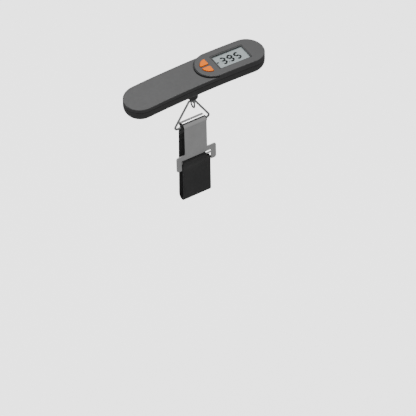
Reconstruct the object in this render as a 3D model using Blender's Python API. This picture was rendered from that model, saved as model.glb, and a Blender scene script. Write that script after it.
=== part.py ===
"""Digital luggage scale: a long handle with a display head, a swivel eye, a wire ring and a strap.

Metres, +Z up. The origin is on the swivel axis, level with the parting line between the two shells.
+X points to the display head, -Y to the person who reads the display.
"""
import math

import bmesh
import bpy
from mathutils import Matrix, Vector

MM = 0.001
GAP = 0.3 * MM                      # clearance between neighbouring pieces
ARC_STEPS = 20                      # facets round half a turn

# Housing outline in plan: a stadium between two arc centres
HOUSING_RADIUS = 18.5 * MM
HANDLE_END_X = -59.0 * MM
HEAD_END_X = 64.0 * MM
HEAD_START_X = 23.8 * MM            # centre of the raised head's rounded start
ARCH_RADIUS = 1000 * MM             # the whole housing bows gently upwards
ARCH_CROWN_X = 16.0 * MM            # its crown lies a little towards the head
ARCH_STEP = 10 * MM

# Housing heights
WALL = 1.6 * MM
HANDLE_TOP_Z = 4.6 * MM
HEAD_TOP_Z = 6.7 * MM
TOP_EDGE_ROUND = 0.9 * MM
SEAM_CHAMFER = 0.3 * MM
BOTTOM_Z = -13.3 * MM
BOTTOM_FILLET = 10.0 * MM
GROOVE_WIDTH = 0.9 * MM
GROOVE_DEPTH = 0.9 * MM

# Display, centred in the head
DISPLAY_X = 45.3 * MM
WINDOW_SIZE = (37.7 * MM, 21.3 * MM)
VIEW_SIZE = (34.7 * MM, 18.5 * MM)
BEZEL_TOP_Z = 6.5 * MM
BEZEL_BASE_Z = 5.7 * MM
LENS_TOP_Z = 5.4 * MM
LENS_THICKNESS = 0.5 * MM
LCD_SIZE = (39.0 * MM, 24.0 * MM, 1.8 * MM)
LCD_TOP_Z = 4.6 * MM
LCD_HOLDER_WALL = 1.4 * MM
ZEBRA_SIZE = (36.0 * MM, 1.8 * MM)
ZEBRA_Y = 10.6 * MM
BOARD_SIZE = (53.0 * MM, 27.0 * MM, 1.2 * MM)
BOARD_X = 43.6 * MM
BOARD_TOP_Z = 0.2 * MM
CHIP_SIZE = (10.0 * MM, 10.0 * MM, 1.6 * MM)

# Buttons: a half disc cut in two by the centre line
BUTTON_CENTRE_X = 20.6 * MM
BUTTON_STRAIGHT_X = 20.0 * MM
BUTTON_RADIUS = 10.0 * MM
BUTTON_HALF_GAP = 1.4 * MM
BUTTON_CORNER = 1.0 * MM
BUTTON_TOP_Z = 7.2 * MM
BUTTON_FLANGE = 0.7 * MM
BUTTON_FLANGE_Z = (3.2 * MM, 4.1 * MM)
SWITCH_X = 17.4 * MM
SWITCH_Y = 4.6 * MM
SWITCH_SIZE = (3.0 * MM, 4.0 * MM, 1.4 * MM)
SWITCH_STEM_RADIUS = 0.9 * MM
SWITCH_STEM_TOP_Z = 2.1 * MM

# Load cell and swivel
CELL_X = (-36.0 * MM, 6.0 * MM)
CELL_WIDTH = 11.0 * MM
CELL_Z = (-8.0 * MM, -2.0 * MM)
CELL_HOLE_X = (-20.0 * MM, -10.0 * MM)
CELL_HOLE_RADIUS = 2.1 * MM
CELL_SCREW_X = (-33.0 * MM, -28.0 * MM)
PEDESTAL_X = (-36.5 * MM, -24.5 * MM)
GAUGE_SIZE = (8.0 * MM, 5.0 * MM, 0.25 * MM)
ROD_RADIUS = 1.5 * MM
ROD_TOP_Z = 2.2 * MM
NUT_RADIUS = 3.4 * MM
WASHER_RADIUS = 4.2 * MM
EYE_WIRE_RADIUS = 0.9 * MM
EYE_HALF_WIDTH = 3.2 * MM
EYE_TOP_Z = -28.6 * MM
EYE_BOTTOM_Z = -40.3 * MM
EYE_PIN_RADIUS = 0.8 * MM
EYE_PIN_Z = -33.1 * MM              # the cross pin that carries the ring

# Collar under the housing: (radius, z) pairs down its outer side
COLLAR_SPIGOT_RADIUS = 4.7 * MM
COLLAR_SPIGOT_TOP_Z = -9.4 * MM
COLLAR_BOTTOM_Z = -27.4 * MM
COLLAR_PROFILE = [
    (11.4 * MM, BOTTOM_Z - GAP), (11.0 * MM, -13.9 * MM), (9.3 * MM, -15.6 * MM),
    (7.6 * MM, -17.4 * MM), (6.4 * MM, -19.3 * MM), (5.8 * MM, -21.4 * MM),
    (5.6 * MM, -26.4 * MM), (4.7 * MM, COLLAR_BOTTOM_Z),
]

# Battery, its door in the underside of the handle
BATTERY_X = -52.0 * MM
COIN_RADIUS = 10.0 * MM
COIN_Z = (-10.1 * MM, -6.9 * MM)
DOOR_SIZE = (27.0 * MM, 21.6 * MM)
DOOR_CORNER = 2.5 * MM
HOLDER_RADIUS = 12.0 * MM
HOLDER_Z = (-9.0 * MM, -4.9 * MM)
CONTACT_SIZE = (14.0 * MM, 4.0 * MM, 0.3 * MM)

# Screws that join the two shells
SHELL_SCREWS = [(-69.0 * MM, 0.0), (10.2 * MM, 9.9 * MM), (10.2 * MM, -9.9 * MM), (74.0 * MM, 0.0)]
POST_RADIUS = 2.7 * MM
SCREW_RADIUS = 1.0 * MM
SCREW_HEAD_RADIUS = 1.9 * MM
SCREW_HEAD_Z = (-10.0 * MM, -8.6 * MM)
SCREW_TOP_Z = 1.6 * MM

# Wire ring that hangs in the eye
RING_WIRE_RADIUS = 1.15 * MM
RING_CENTRE_X = -1.5 * MM
RING_TOP_Z = -30.9 * MM
RING_TOP_HALF = 2.9 * MM
RING_BAR_Z = -62.0 * MM
RING_BAR_HALF = 21.8 * MM
RING_TOP_CORNER = 2.0 * MM
RING_BAR_CORNER = 2.6 * MM

# Webbing strap: a loop in the Y-Z plane
WEB = 1.3 * MM
STRAP_WIDTH = 33.0 * MM
STRAP_TOP_WIDTH = 29.5 * MM
STRAP_HALF_DEPTH = 5.1 * MM          # outer face of each layer from the middle
STRAP_BOTTOM_Z = -162.6 * MM
STRAP_TAIL_Z = -80.0 * MM
STRAP_FRONT_TOP_Z = -115.0 * MM

# Stamped hook plate
PLATE_THICKNESS = 1.2 * MM
PLATE_FRONT_Y = -4.85 * MM
PLATE_BEND_RADIUS = 6.1 * MM         # outer radius of the bend over the ring's bar
PLATE_BEND_Z = -63.4 * MM
PLATE_LIP = 1.8 * MM
BEND_STEPS = 14
TAB_WIDTH = 26.0 * MM
CROSSBAR_TOP_Z = -97.6 * MM
CROSSBAR_BOTTOM_Z = -104.3 * MM
PLATE_WIDTH = 47.0 * MM
LEG_INNER = 35.0 * MM
LEG_BOTTOM_Z = -117.6 * MM
STRAP_BAR_Z = (-108.6 * MM, -106.6 * MM)
PLATE_CORNER = 2.6 * MM


# ---------------------------------------------------------------- scene and materials

def clear_scene():
    """Remove every object, collection and mesh of the open file."""
    for obj in list(bpy.data.objects):
        bpy.data.objects.remove(obj, do_unlink=True)
    for collection in list(bpy.data.collections):
        bpy.data.collections.remove(collection)


def make_collection(name):
    """A new collection in the scene."""
    collection = bpy.data.collections.new(name)
    bpy.context.scene.collection.children.link(collection)
    return collection


def make_material(name, colour, roughness, metallic=0.0, alpha=1.0):
    """A Principled material of one colour."""
    material = bpy.data.materials.new(name)
    material.use_nodes = True
    shader = material.node_tree.nodes["Principled BSDF"]
    shader.inputs["Base Color"].default_value = (*colour, 1.0)
    shader.inputs["Roughness"].default_value = roughness
    shader.inputs["Metallic"].default_value = metallic
    shader.inputs["Alpha"].default_value = alpha
    return material


# ---------------------------------------------------------------- outlines

def arc(centre, radius, start, end, steps):
    """Points on an arc, both ends included; angles in radians."""
    return [(centre[0] + radius * math.cos(start + (end - start) * i / steps),
             centre[1] + radius * math.sin(start + (end - start) * i / steps))
            for i in range(steps + 1)]


def stadium(left, right, radius):
    """A stadium round two arc centres on the X axis, anticlockwise."""
    quarter = math.pi / 2
    return (arc((right, 0.0), radius, -quarter, quarter, ARC_STEPS)
            + arc((left, 0.0), radius, quarter, 3 * quarter, ARC_STEPS))


def rounded_rectangle(centre, size, corner, steps=4):
    """A rectangle with round corners, anticlockwise."""
    points = []
    for index, (side_x, side_y) in enumerate(((1, -1), (1, 1), (-1, 1), (-1, -1))):
        middle = (centre[0] + side_x * (size[0] / 2 - corner), centre[1] + side_y * (size[1] / 2 - corner))
        start = (index - 1) * math.pi / 2
        points += arc(middle, corner, start, start + math.pi / 2, steps)
    return points


def round_corners(points, radii, steps=4):
    """An outline with each corner replaced by an arc of the given radius (0 keeps it sharp)."""
    result = []
    count = len(points)
    for index, radius in enumerate(radii):
        corner = Vector(points[index])
        if radius == 0:
            result.append(tuple(corner))
            continue
        back = (Vector(points[index - 1]) - corner).normalized()
        ahead = (Vector(points[(index + 1) % count]) - corner).normalized()
        half = back.angle(ahead) / 2
        middle = corner + (back + ahead).normalized() * radius / math.sin(half)
        first = corner + back * radius / math.tan(half) - middle
        turn = first.angle_signed(corner + ahead * radius / math.tan(half) - middle)
        start = math.atan2(first.y, first.x)
        result += arc(middle, radius, start, start - turn, steps)
    return result


# ---------------------------------------------------------------- solids

def finish(name, mesh, material, collection, cutter=False):
    """Make an object of a mesh, shaded smooth with sharp edges kept."""
    obj = bpy.data.objects.new(name, mesh)
    collection.objects.link(obj)
    mesh.shade_smooth()
    mesh.set_sharp_from_angle(angle=math.radians(30))
    if material is not None:
        mesh.materials.append(material)
    if cutter:
        obj.hide_render = True
        obj.display_type = "WIRE"
    return obj


def loft(name, sections):
    """A closed mesh through loops of equal point counts, capped at both ends.

    sections is a list of loops, each a list of 3-D points in the same order.
    """
    bm = bmesh.new()
    loops = []
    for points in sections:
        verts = [bm.verts.new(point) for point in points]
        loops.append(verts)
    edges = [[bm.edges.new((verts[i - 1], verts[i])) for i in range(len(verts))] for verts in loops]
    for first, second in zip(edges, edges[1:]):
        bmesh.ops.bridge_loops(bm, edges=first + second)
    bm.faces.new(loops[0])
    bm.faces.new(loops[-1])
    bmesh.ops.recalc_face_normals(bm, faces=bm.faces)
    mesh = bpy.data.meshes.new(name)
    bm.to_mesh(mesh)
    bm.free()
    return mesh


def prism(name, outline, low, high):
    """An outline in X and Y pulled up from one height to another."""
    return loft(name, [[(x, y, z) for x, y in outline] for z in (low, high)])


def stadium_loft(name, left, right, path):
    """A solid whose sections are stadiums set in from the housing's outline; path holds (inset, z)."""
    return loft(name, [[(x, y, z) for x, y in stadium(left, right, HOUSING_RADIUS - inset)]
                       for inset, z in path])


def box_mesh(name, low, high):
    """A box between two corners."""
    bm = bmesh.new()
    bmesh.ops.create_cube(bm, size=1.0)
    size = Vector(high) - Vector(low)
    bmesh.ops.scale(bm, vec=size, verts=bm.verts)
    bmesh.ops.translate(bm, vec=Vector(low) + size / 2, verts=bm.verts)
    mesh = bpy.data.meshes.new(name)
    bm.to_mesh(mesh)
    bm.free()
    return mesh


def cylinder_mesh(name, centre, radius, low, high, sides=24, axis="Z"):
    """A cylinder between two heights along an axis; centre gives the other two coordinates in order."""
    bm = bmesh.new()
    bmesh.ops.create_cone(bm, cap_ends=True, segments=sides, radius1=radius, radius2=radius, depth=high - low)
    if axis == "Y":
        bmesh.ops.rotate(bm, matrix=Matrix.Rotation(math.pi / 2, 3, "X"), verts=bm.verts)
        place = (centre[0], (low + high) / 2, centre[1])
    else:
        place = (centre[0], centre[1], (low + high) / 2)
    bmesh.ops.translate(bm, vec=place, verts=bm.verts)
    mesh = bpy.data.meshes.new(name)
    bm.to_mesh(mesh)
    bm.free()
    return mesh


def turned_mesh(name, profile, centre=(0.0, 0.0), sides=32):
    """A closed (radius, z) profile turned a full circle about a vertical axis."""
    bm = bmesh.new()
    verts = [bm.verts.new((radius, 0.0, z)) for radius, z in profile]
    edges = [bm.edges.new((verts[i - 1], verts[i])) for i in range(len(verts))]
    bmesh.ops.spin(bm, geom=verts + edges, cent=(0, 0, 0), axis=(0, 0, 1), angle=2 * math.pi,
                   steps=sides, use_merge=True)
    bmesh.ops.translate(bm, vec=(centre[0], centre[1], 0.0), verts=bm.verts)
    bmesh.ops.recalc_face_normals(bm, faces=bm.faces)
    mesh = bpy.data.meshes.new(name)
    bm.to_mesh(mesh)
    bm.free()
    return mesh


def wire_mesh(name, points, radius, closed, sides=3):
    """A round wire along points: a curve with a bevel, made a mesh with its caps welded."""
    curve = bpy.data.curves.new(name + "_curve", "CURVE")
    curve.dimensions = "3D"
    curve.bevel_depth = radius
    curve.bevel_resolution = sides
    curve.use_fill_caps = not closed
    spline = curve.splines.new("POLY")
    spline.points.add(len(points) - 1)
    for item, point in zip(spline.points, points):
        item.co = (*point, 1.0)
    spline.use_cyclic_u = closed
    guide = bpy.data.objects.new(name + "_curve", curve)
    bpy.context.scene.collection.objects.link(guide)
    depsgraph = bpy.context.evaluated_depsgraph_get()
    mesh = bpy.data.meshes.new_from_object(guide.evaluated_get(depsgraph))
    bpy.data.objects.remove(guide, do_unlink=True)
    mesh.name = name
    bm = bmesh.new()
    bm.from_mesh(mesh)
    bmesh.ops.remove_doubles(bm, verts=bm.verts, dist=1e-6)
    bmesh.ops.recalc_face_normals(bm, faces=bm.faces)
    bm.to_mesh(mesh)
    bm.free()
    return mesh


class Builder:
    """Makes the nodes and applies the cuts that shape them."""

    def __init__(self):
        self.parts = make_collection("digital_luggage_scale")
        self.cutters = make_collection("cutters")
        self.materials = {
            "housing": make_material("housing", (0.105, 0.105, 0.107), 0.5),
            "black": make_material("black_plastic", (0.012, 0.012, 0.013), 0.45),
            "orange": make_material("orange_button", (1.0, 0.24, 0.045), 0.4),
            "lens": make_material("clear_lens", (0.86, 0.9, 0.9), 0.05, alpha=0.25),
            "lcd": make_material("lcd_glass", (0.4, 0.46, 0.46), 0.25),
            "rubber": make_material("rubber", (0.03, 0.03, 0.03), 0.8),
            "board": make_material("circuit_board", (0.02, 0.16, 0.07), 0.45),
            "steel": make_material("steel", (0.42, 0.43, 0.43), 0.35, metallic=1.0),
            "plate": make_material("plate_steel", (0.5, 0.51, 0.51), 0.3, metallic=1.0),
            "aluminium": make_material("aluminium", (0.62, 0.63, 0.64), 0.4, metallic=1.0),
            "brass": make_material("brass", (0.7, 0.5, 0.2), 0.35, metallic=1.0),
            "foil": make_material("gauge_foil", (0.6, 0.3, 0.08), 0.5),
            "webbing": make_material("webbing", (0.012, 0.012, 0.013), 0.9),
            "wire": make_material("wire_sheath", (0.5, 0.02, 0.02), 0.5),
        }

    def node(self, name, mesh, material):
        """Add a sub-part."""
        return finish(name, mesh, self.materials[material], self.parts)

    def change(self, obj, mesh, operation="DIFFERENCE"):
        """Cut, join or intersect a node with a mesh, and keep the result."""
        cutter = finish(mesh.name, mesh, None, self.cutters, cutter=True)
        modifier = obj.modifiers.new(mesh.name, "BOOLEAN")
        modifier.operation = operation
        modifier.solver = "EXACT"
        modifier.object = cutter
        depsgraph = bpy.context.evaluated_depsgraph_get()
        result = bpy.data.meshes.new_from_object(obj.evaluated_get(depsgraph))
        obj.modifiers.clear()
        obj.data = result
        result.name = obj.name


def arch_drop(x):
    """How far the housing's arch falls at x below its height on the swivel axis."""
    return x * (x - 2 * ARCH_CROWN_X) / (2 * ARCH_RADIUS)


def arch_matrix(x, z):
    """The move that carries a stiff piece, modelled level, onto the arch at x; it tilts about height z."""
    pivot = Vector((x, 0.0, z))
    tilt = Matrix.Rotation(math.atan((x - ARCH_CROWN_X) / ARCH_RADIUS), 4, "Y")
    return Matrix.Translation(pivot - Vector((0, 0, arch_drop(x)))) @ tilt @ Matrix.Translation(-pivot)


def bow(obj):
    """Bend a level-modelled housing piece along the arch."""
    bm = bmesh.new()
    bm.from_mesh(obj.data)
    first = math.ceil((HANDLE_END_X - HOUSING_RADIUS) / ARCH_STEP)
    last = math.floor((HEAD_END_X + HOUSING_RADIUS) / ARCH_STEP)
    for index in range(first, last + 1):
        geometry = bm.verts[:] + bm.edges[:] + bm.faces[:]
        bmesh.ops.bisect_plane(bm, geom=geometry, dist=1e-7, plane_co=(index * ARCH_STEP, 0, 0),
                               plane_no=(1, 0, 0))
    bmesh.ops.triangulate(bm, faces=bm.faces)
    for vert in bm.verts:
        vert.co.z -= arch_drop(vert.co.x)
    bmesh.ops.recalc_face_normals(bm, faces=bm.faces)
    bm.to_mesh(obj.data)
    bm.free()
    obj.data.shade_smooth()
    obj.data.set_sharp_from_angle(angle=math.radians(25))


def place(obj, matrix, origin=(0.0, 0.0, 0.0)):
    """Move a piece by a matrix and put its origin at a point of the level frame."""
    obj.data.transform(Matrix.Translation(-Vector(origin)))
    obj.matrix_world = matrix @ Matrix.Translation(Vector(origin))


# ---------------------------------------------------------------- housing

def lower_path(depth, segments=7):
    """The underside's section, set in by a wall depth: from the flat bottom up to the seam."""
    fillet = BOTTOM_FILLET - depth
    points = []
    for i in range(segments + 1):
        angle = math.pi / 2 * i / segments
        points.append((depth + fillet * (1 - math.sin(angle)),
                       BOTTOM_Z + depth + fillet * (1 - math.cos(angle))))
    return points


def lower_body(name):
    """The lower shell before anything is cut in it: a tray with one wall."""
    outer = lower_path(0.0) + [(0.0, -GAP / 2 - SEAM_CHAMFER), (SEAM_CHAMFER, -GAP / 2)]
    inner = [(WALL, -GAP / 2)] + list(reversed(lower_path(WALL)))
    return stadium_loft(name, HANDLE_END_X, HEAD_END_X, outer + inner)


def door_outline(extra):
    """The battery door's outline, grown by a margin."""
    size = (DOOR_SIZE[0] + 2 * extra, DOOR_SIZE[1] + 2 * extra)
    return rounded_rectangle((BATTERY_X, 0.0), size, DOOR_CORNER + extra)


def build_lower_shell(build):
    """Lower shell with its screw posts, load cell pedestal and openings."""
    shell = build.node("lower_shell", lower_body("lower_shell"), "housing")
    floor = BOTTOM_Z + 0.5 * WALL
    pedestal = box_mesh("pedestal", (PEDESTAL_X[0], -CELL_WIDTH / 2, floor), (PEDESTAL_X[1], CELL_WIDTH / 2,
                                                                               CELL_Z[0] - GAP))
    build.change(shell, pedestal, "UNION")
    for index, centre in enumerate(SHELL_SCREWS):
        post = cylinder_mesh(f"lower_post_{index}", centre, POST_RADIUS, floor + 0.6 * MM, -GAP)
        build.change(shell, post, "UNION")
        bore = turned_mesh(f"screw_bore_{index}", [
            (0.0001 * MM, BOTTOM_Z - 4 * MM), (SCREW_HEAD_RADIUS + GAP, BOTTOM_Z - 4 * MM),
            (SCREW_HEAD_RADIUS + GAP, SCREW_HEAD_Z[1] + GAP), (SCREW_RADIUS + GAP, SCREW_HEAD_Z[1] + GAP),
            (SCREW_RADIUS + GAP, 1 * MM), (0.0001 * MM, 1 * MM)], centre, sides=20)
        build.change(shell, bore)
    for index, x in enumerate(CELL_SCREW_X):
        build.change(shell, cylinder_mesh(f"pedestal_bore_{index}", (x, 0.0), SCREW_RADIUS + GAP,
                                          BOTTOM_Z + WALL - 0.2 * MM, 0.0, sides=16))
    build.change(shell, cylinder_mesh("collar_bore", (0.0, 0.0), COLLAR_SPIGOT_RADIUS + GAP,
                                      BOTTOM_Z - 1 * MM, BOTTOM_Z + 2 * WALL, sides=32))
    build.change(shell, prism("door_opening", door_outline(GAP), BOTTOM_Z - 1 * MM, BOTTOM_Z + 3 * WALL))
    bow(shell)


def build_battery_door(build):
    """Door cut from the shell's own wall, with grip ridges across it."""
    door = build.node("battery_door", lower_body("battery_door"), "housing")
    build.change(door, prism("door_block", door_outline(0.0), BOTTOM_Z - 1 * MM, BOTTOM_Z + 3 * WALL),
                 "INTERSECT")
    for index in range(4):
        x = BATTERY_X + (7.0 + 1.8 * index - 1.0) * MM
        groove = box_mesh(f"grip_groove_{index}", (x - 0.4 * MM, -5 * MM, BOTTOM_Z - 1 * MM),
                          (x + 0.4 * MM, 5 * MM, BOTTOM_Z + 0.4 * MM))
        build.change(door, groove)
    bow(door)
    place(door, Matrix.Identity(4), (BATTERY_X, 0.0, BOTTOM_Z))


def edge_path(base, top):
    """A wall's section from its base up over a rounded top edge."""
    path = [base]
    for i in range(4):
        angle = math.pi / 2 * i / 3
        path.append((TOP_EDGE_ROUND * (1 - math.cos(angle)), top - TOP_EDGE_ROUND * (1 - math.sin(angle))))
    return path


def build_upper_shell(build):
    """Upper shell: low handle, raised head, the groove at its foot, window and button openings."""
    seam = (SEAM_CHAMFER, GAP / 2)
    handle_path = [seam] + edge_path((0.0, GAP / 2 + SEAM_CHAMFER), HANDLE_TOP_Z)
    shell = build.node("upper_shell", stadium_loft("upper_shell", HANDLE_END_X, HEAD_END_X, handle_path),
                       "housing")
    head_path = edge_path((0.0, 2 * MM), HEAD_TOP_Z)
    build.change(shell, stadium_loft("head", HEAD_START_X, HEAD_END_X, head_path), "UNION")
    cavities = (("handle_cavity", HANDLE_END_X, HANDLE_TOP_Z), ("head_cavity", HEAD_START_X, HEAD_TOP_Z))
    for name, start, top in cavities:
        build.change(shell, stadium_loft(name, start, HEAD_END_X, [(WALL, -1 * MM), (WALL, top - WALL)]))
    foot = (HEAD_START_X, 0.0)
    outer = arc(foot, HOUSING_RADIUS + GROOVE_WIDTH, math.pi / 2, 3 * math.pi / 2, 2 * ARC_STEPS)
    inner = arc(foot, HOUSING_RADIUS, 3 * math.pi / 2, math.pi / 2, 2 * ARC_STEPS)
    build.change(shell, prism("foot_groove", outer + inner, HANDLE_TOP_Z - GROOVE_DEPTH, HEAD_TOP_Z - 1 * MM))
    window = rounded_rectangle((DISPLAY_X, 0.0), WINDOW_SIZE, 0.8 * MM)
    build.change(shell, prism("window_opening", window, HANDLE_TOP_Z - 1 * MM, HEAD_TOP_Z + 1 * MM))
    for side in (1, -1):
        outline = button_outline(side, GAP)
        build.change(shell, prism(f"button_opening_{side}", outline, HANDLE_TOP_Z - 1 * MM, HEAD_TOP_Z + 1 * MM))
    for index, centre in enumerate(SHELL_SCREWS):
        ceiling = HANDLE_TOP_Z if centre[0] < 0 or abs(centre[1]) > 0 else HEAD_TOP_Z
        build.change(shell, cylinder_mesh(f"upper_post_{index}", centre, POST_RADIUS, GAP,
                                          ceiling - 0.5 * WALL), "UNION")
        build.change(shell, cylinder_mesh(f"pilot_{index}", centre, SCREW_RADIUS + GAP, -1 * MM,
                                          SCREW_TOP_Z + GAP, sides=20))
    bow(shell)


# ---------------------------------------------------------------- head: display, board and buttons

def button_outline(side, extra):
    """One button's outline: a quarter disc with round corners, grown by a margin; side is +1 or -1."""
    radius = BUTTON_RADIUS + extra
    straight = BUTTON_STRAIGHT_X + extra
    near = BUTTON_HALF_GAP - extra
    top = math.acos((straight - BUTTON_CENTRE_X) / radius)
    end = math.pi - math.asin(near / radius)
    curve = arc((BUTTON_CENTRE_X, 0.0), radius, top, end, 14)
    corners = [(straight, near), curve[0], *curve[3:-3], curve[-1]]
    corner = BUTTON_CORNER + extra
    outline = round_corners(corners, [corner, corner] + [0] * (len(corners) - 3) + [corner])
    if side < 0:
        outline = [(x, -y) for x, y in reversed(outline)]
    return outline


def build_buttons(build, head):
    """Two caps with a flange under the shell, and the switches below them."""
    for side, name, switch_name in ((1, "power_button", "power_switch"), (-1, "unit_button", "unit_switch")):
        cap = build.node(name, prism(name, button_outline(side, 0.0), BUTTON_FLANGE_Z[0], BUTTON_TOP_Z), "orange")
        flange = prism(name + "_flange", button_outline(side, BUTTON_FLANGE), *BUTTON_FLANGE_Z)
        build.change(cap, flange, "UNION")
        bevel_top(cap, BUTTON_TOP_Z, 0.5 * MM)
        centre = (SWITCH_X, side * SWITCH_Y)
        place(cap, head, (centre[0], centre[1], BUTTON_FLANGE_Z[0]))
        low = Vector((centre[0], centre[1], BOARD_TOP_Z + GAP)) - Vector((*SWITCH_SIZE[:2], 0.0)) / 2
        switch = build.node(switch_name, box_mesh(switch_name, low, low + Vector(SWITCH_SIZE)), "black")
        stem = cylinder_mesh(switch_name + "_stem", centre, SWITCH_STEM_RADIUS, BOARD_TOP_Z + 1 * MM,
                             SWITCH_STEM_TOP_Z, sides=16)
        build.change(switch, stem, "UNION")
        place(switch, head)


def bevel_top(obj, height, width):
    """Round the edges that lie at a height."""
    bm = bmesh.new()
    bm.from_mesh(obj.data)
    bmesh.ops.dissolve_limit(bm, angle_limit=0.001, verts=bm.verts, edges=bm.edges)
    top = [edge for edge in bm.edges if all(abs(vert.co.z - height) < 1e-6 for vert in edge.verts)
           and len(edge.link_faces) == 2]
    bmesh.ops.bevel(bm, geom=top, affect="EDGES", offset=width, segments=3, profile=0.5, material=-1)
    bm.to_mesh(obj.data)
    bm.free()


def frame_mesh(name, centre, outer, inner, low, high, corner):
    """A rectangular frame: one outline outside and one inside, joined top and bottom."""
    rings = [(outer, corner, low), (outer, corner, high), (inner, corner / 2, high), (inner, corner / 2, low)]
    bm = bmesh.new()
    loops = []
    for size, radius, z in rings:
        verts = [bm.verts.new((x, y, z)) for x, y in rounded_rectangle(centre, size, radius, steps=2)]
        loops.append([bm.edges.new((verts[i - 1], verts[i])) for i in range(len(verts))])
    for index, loop in enumerate(loops):
        bmesh.ops.bridge_loops(bm, edges=loop + loops[(index + 1) % len(loops)])
    bmesh.ops.recalc_face_normals(bm, faces=bm.faces)
    mesh = bpy.data.meshes.new(name)
    bm.to_mesh(mesh)
    bm.free()
    return mesh


def slab(centre, size, low, high):
    """Corners of a box given by its middle in plan, its plan size and its heights."""
    return ((centre[0] - size[0] / 2, centre[1] - size[1] / 2, low),
            (centre[0] + size[0] / 2, centre[1] + size[1] / 2, high))


def build_display(build, head):
    """Bezel, lens, LCD cell in its holder, contact strips, board and controller."""
    centre = (DISPLAY_X, 0.0)
    opening = (WINDOW_SIZE[0] - 2 * GAP, WINDOW_SIZE[1] - 2 * GAP)
    bezel = frame_mesh("window_bezel", centre, opening, VIEW_SIZE, BEZEL_BASE_Z, BEZEL_TOP_Z, 0.8 * MM)
    place(build.node("window_bezel", bezel, "black"), head)
    lens = prism("display_lens", rounded_rectangle(centre, opening, 0.6 * MM), LENS_TOP_Z - LENS_THICKNESS,
                 LENS_TOP_Z)
    place(build.node("display_lens", lens, "lens"), head)
    lcd_low = LCD_TOP_Z - LCD_SIZE[2]
    lcd = box_mesh("lcd_cell", *slab(centre, LCD_SIZE, lcd_low, LCD_TOP_Z))
    place(build.node("lcd_cell", lcd, "lcd"), head)
    inner = (LCD_SIZE[0] + 2 * GAP, LCD_SIZE[1] + 2 * GAP)
    outer = (inner[0] + 2 * LCD_HOLDER_WALL, inner[1] + 2 * LCD_HOLDER_WALL)
    holder = frame_mesh("lcd_holder", centre, outer, inner, BOARD_TOP_Z + GAP, LCD_TOP_Z, 0.6 * MM)
    place(build.node("lcd_holder", holder, "black"), head)
    for name, y in (("zebra_strip_rear", ZEBRA_Y), ("zebra_strip_front", -ZEBRA_Y)):
        strip = box_mesh(name, *slab((DISPLAY_X, y), ZEBRA_SIZE, BOARD_TOP_Z + GAP, lcd_low - GAP))
        place(build.node(name, strip, "rubber"), head)
    board_low = BOARD_TOP_Z - BOARD_SIZE[2]
    board = prism("circuit_board", rounded_rectangle((BOARD_X, 0.0), BOARD_SIZE, 1.5 * MM), board_low,
                  BOARD_TOP_Z)
    place(build.node("circuit_board", board, "board"), head)
    chip_top = board_low - GAP
    chip = box_mesh("controller_chip", *slab((BOARD_X, 2 * MM), CHIP_SIZE, chip_top - CHIP_SIZE[2], chip_top))
    place(build.node("controller_chip", chip, "black"), head)


# ---------------------------------------------------------------- load path inside the housing

def build_load_cell(build):
    """Bending beam with its gauges and the two screws that fix it."""
    low, high = CELL_Z
    beam = build.node("load_cell", box_mesh("load_cell", (CELL_X[0], -CELL_WIDTH / 2, low),
                                            (CELL_X[1], CELL_WIDTH / 2, high)), "aluminium")
    middle = (low + high) / 2
    for index, x in enumerate(CELL_HOLE_X):
        build.change(beam, cylinder_mesh(f"beam_hole_{index}", (x, middle), CELL_HOLE_RADIUS, -CELL_WIDTH,
                                         CELL_WIDTH, sides=24, axis="Y"))
    build.change(beam, box_mesh("beam_slot", (CELL_HOLE_X[0], -CELL_WIDTH, middle - 0.5 * MM),
                                (CELL_HOLE_X[1], CELL_WIDTH, middle + 0.5 * MM)))
    for index, x in enumerate((*CELL_SCREW_X, 0.0)):
        radius = (ROD_RADIUS if x == 0.0 else SCREW_RADIUS) + GAP
        build.change(beam, cylinder_mesh(f"beam_bore_{index}", (x, 0.0), radius, low - 1 * MM, high + 1 * MM,
                                         sides=20))
    gauge_x = (CELL_HOLE_X[0] + CELL_HOLE_X[1]) / 2
    for name, base in (("strain_gauge_top", high + 0.1 * MM),
                       ("strain_gauge_bottom", low - 0.1 * MM - GAUGE_SIZE[2])):
        gauge = box_mesh(name, *slab((gauge_x, 0.0), GAUGE_SIZE, base, base + GAUGE_SIZE[2]))
        build.node(name, gauge, "foil")
    for index, x in enumerate(CELL_SCREW_X, start=1):
        head = high + GAP
        name = f"load_cell_screw_{index}"
        profile = screw_profile(BOTTOM_Z + WALL + 0.4 * MM, head, head + 1.3 * MM)
        screw = turned_mesh(name, profile, (x, 0.0), sides=16)
        build.node(name, screw, "steel")


def screw_profile(tip, seat, crown):
    """A pan-head screw's section, tip to crown; the head is at the top when crown is above seat."""
    core = 0.0004 * MM
    return [(core, tip), (SCREW_RADIUS, tip), (SCREW_RADIUS, seat), (SCREW_HEAD_RADIUS, seat),
            (SCREW_HEAD_RADIUS, crown), (core, crown)]


def build_shell_screws(build):
    """Screws that go up through the lower shell's posts into the upper shell's."""
    for index, centre in enumerate(SHELL_SCREWS, start=1):
        name = f"housing_screw_{index}"
        profile = screw_profile(SCREW_TOP_Z, SCREW_HEAD_Z[1], SCREW_HEAD_Z[0])
        screw = build.node(name, turned_mesh(name, profile, centre, sides=16), "steel")
        slot = box_mesh(name + "_slot", (centre[0] - 1.3 * MM, centre[1] - 0.25 * MM, SCREW_HEAD_Z[0] - 1 * MM),
                        (centre[0] + 1.3 * MM, centre[1] + 0.25 * MM, SCREW_HEAD_Z[0] + 0.6 * MM))
        build.change(screw, slot)
        drop = Matrix.Translation((0, 0, -arch_drop(centre[0])))
        place(screw, drop)


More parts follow.
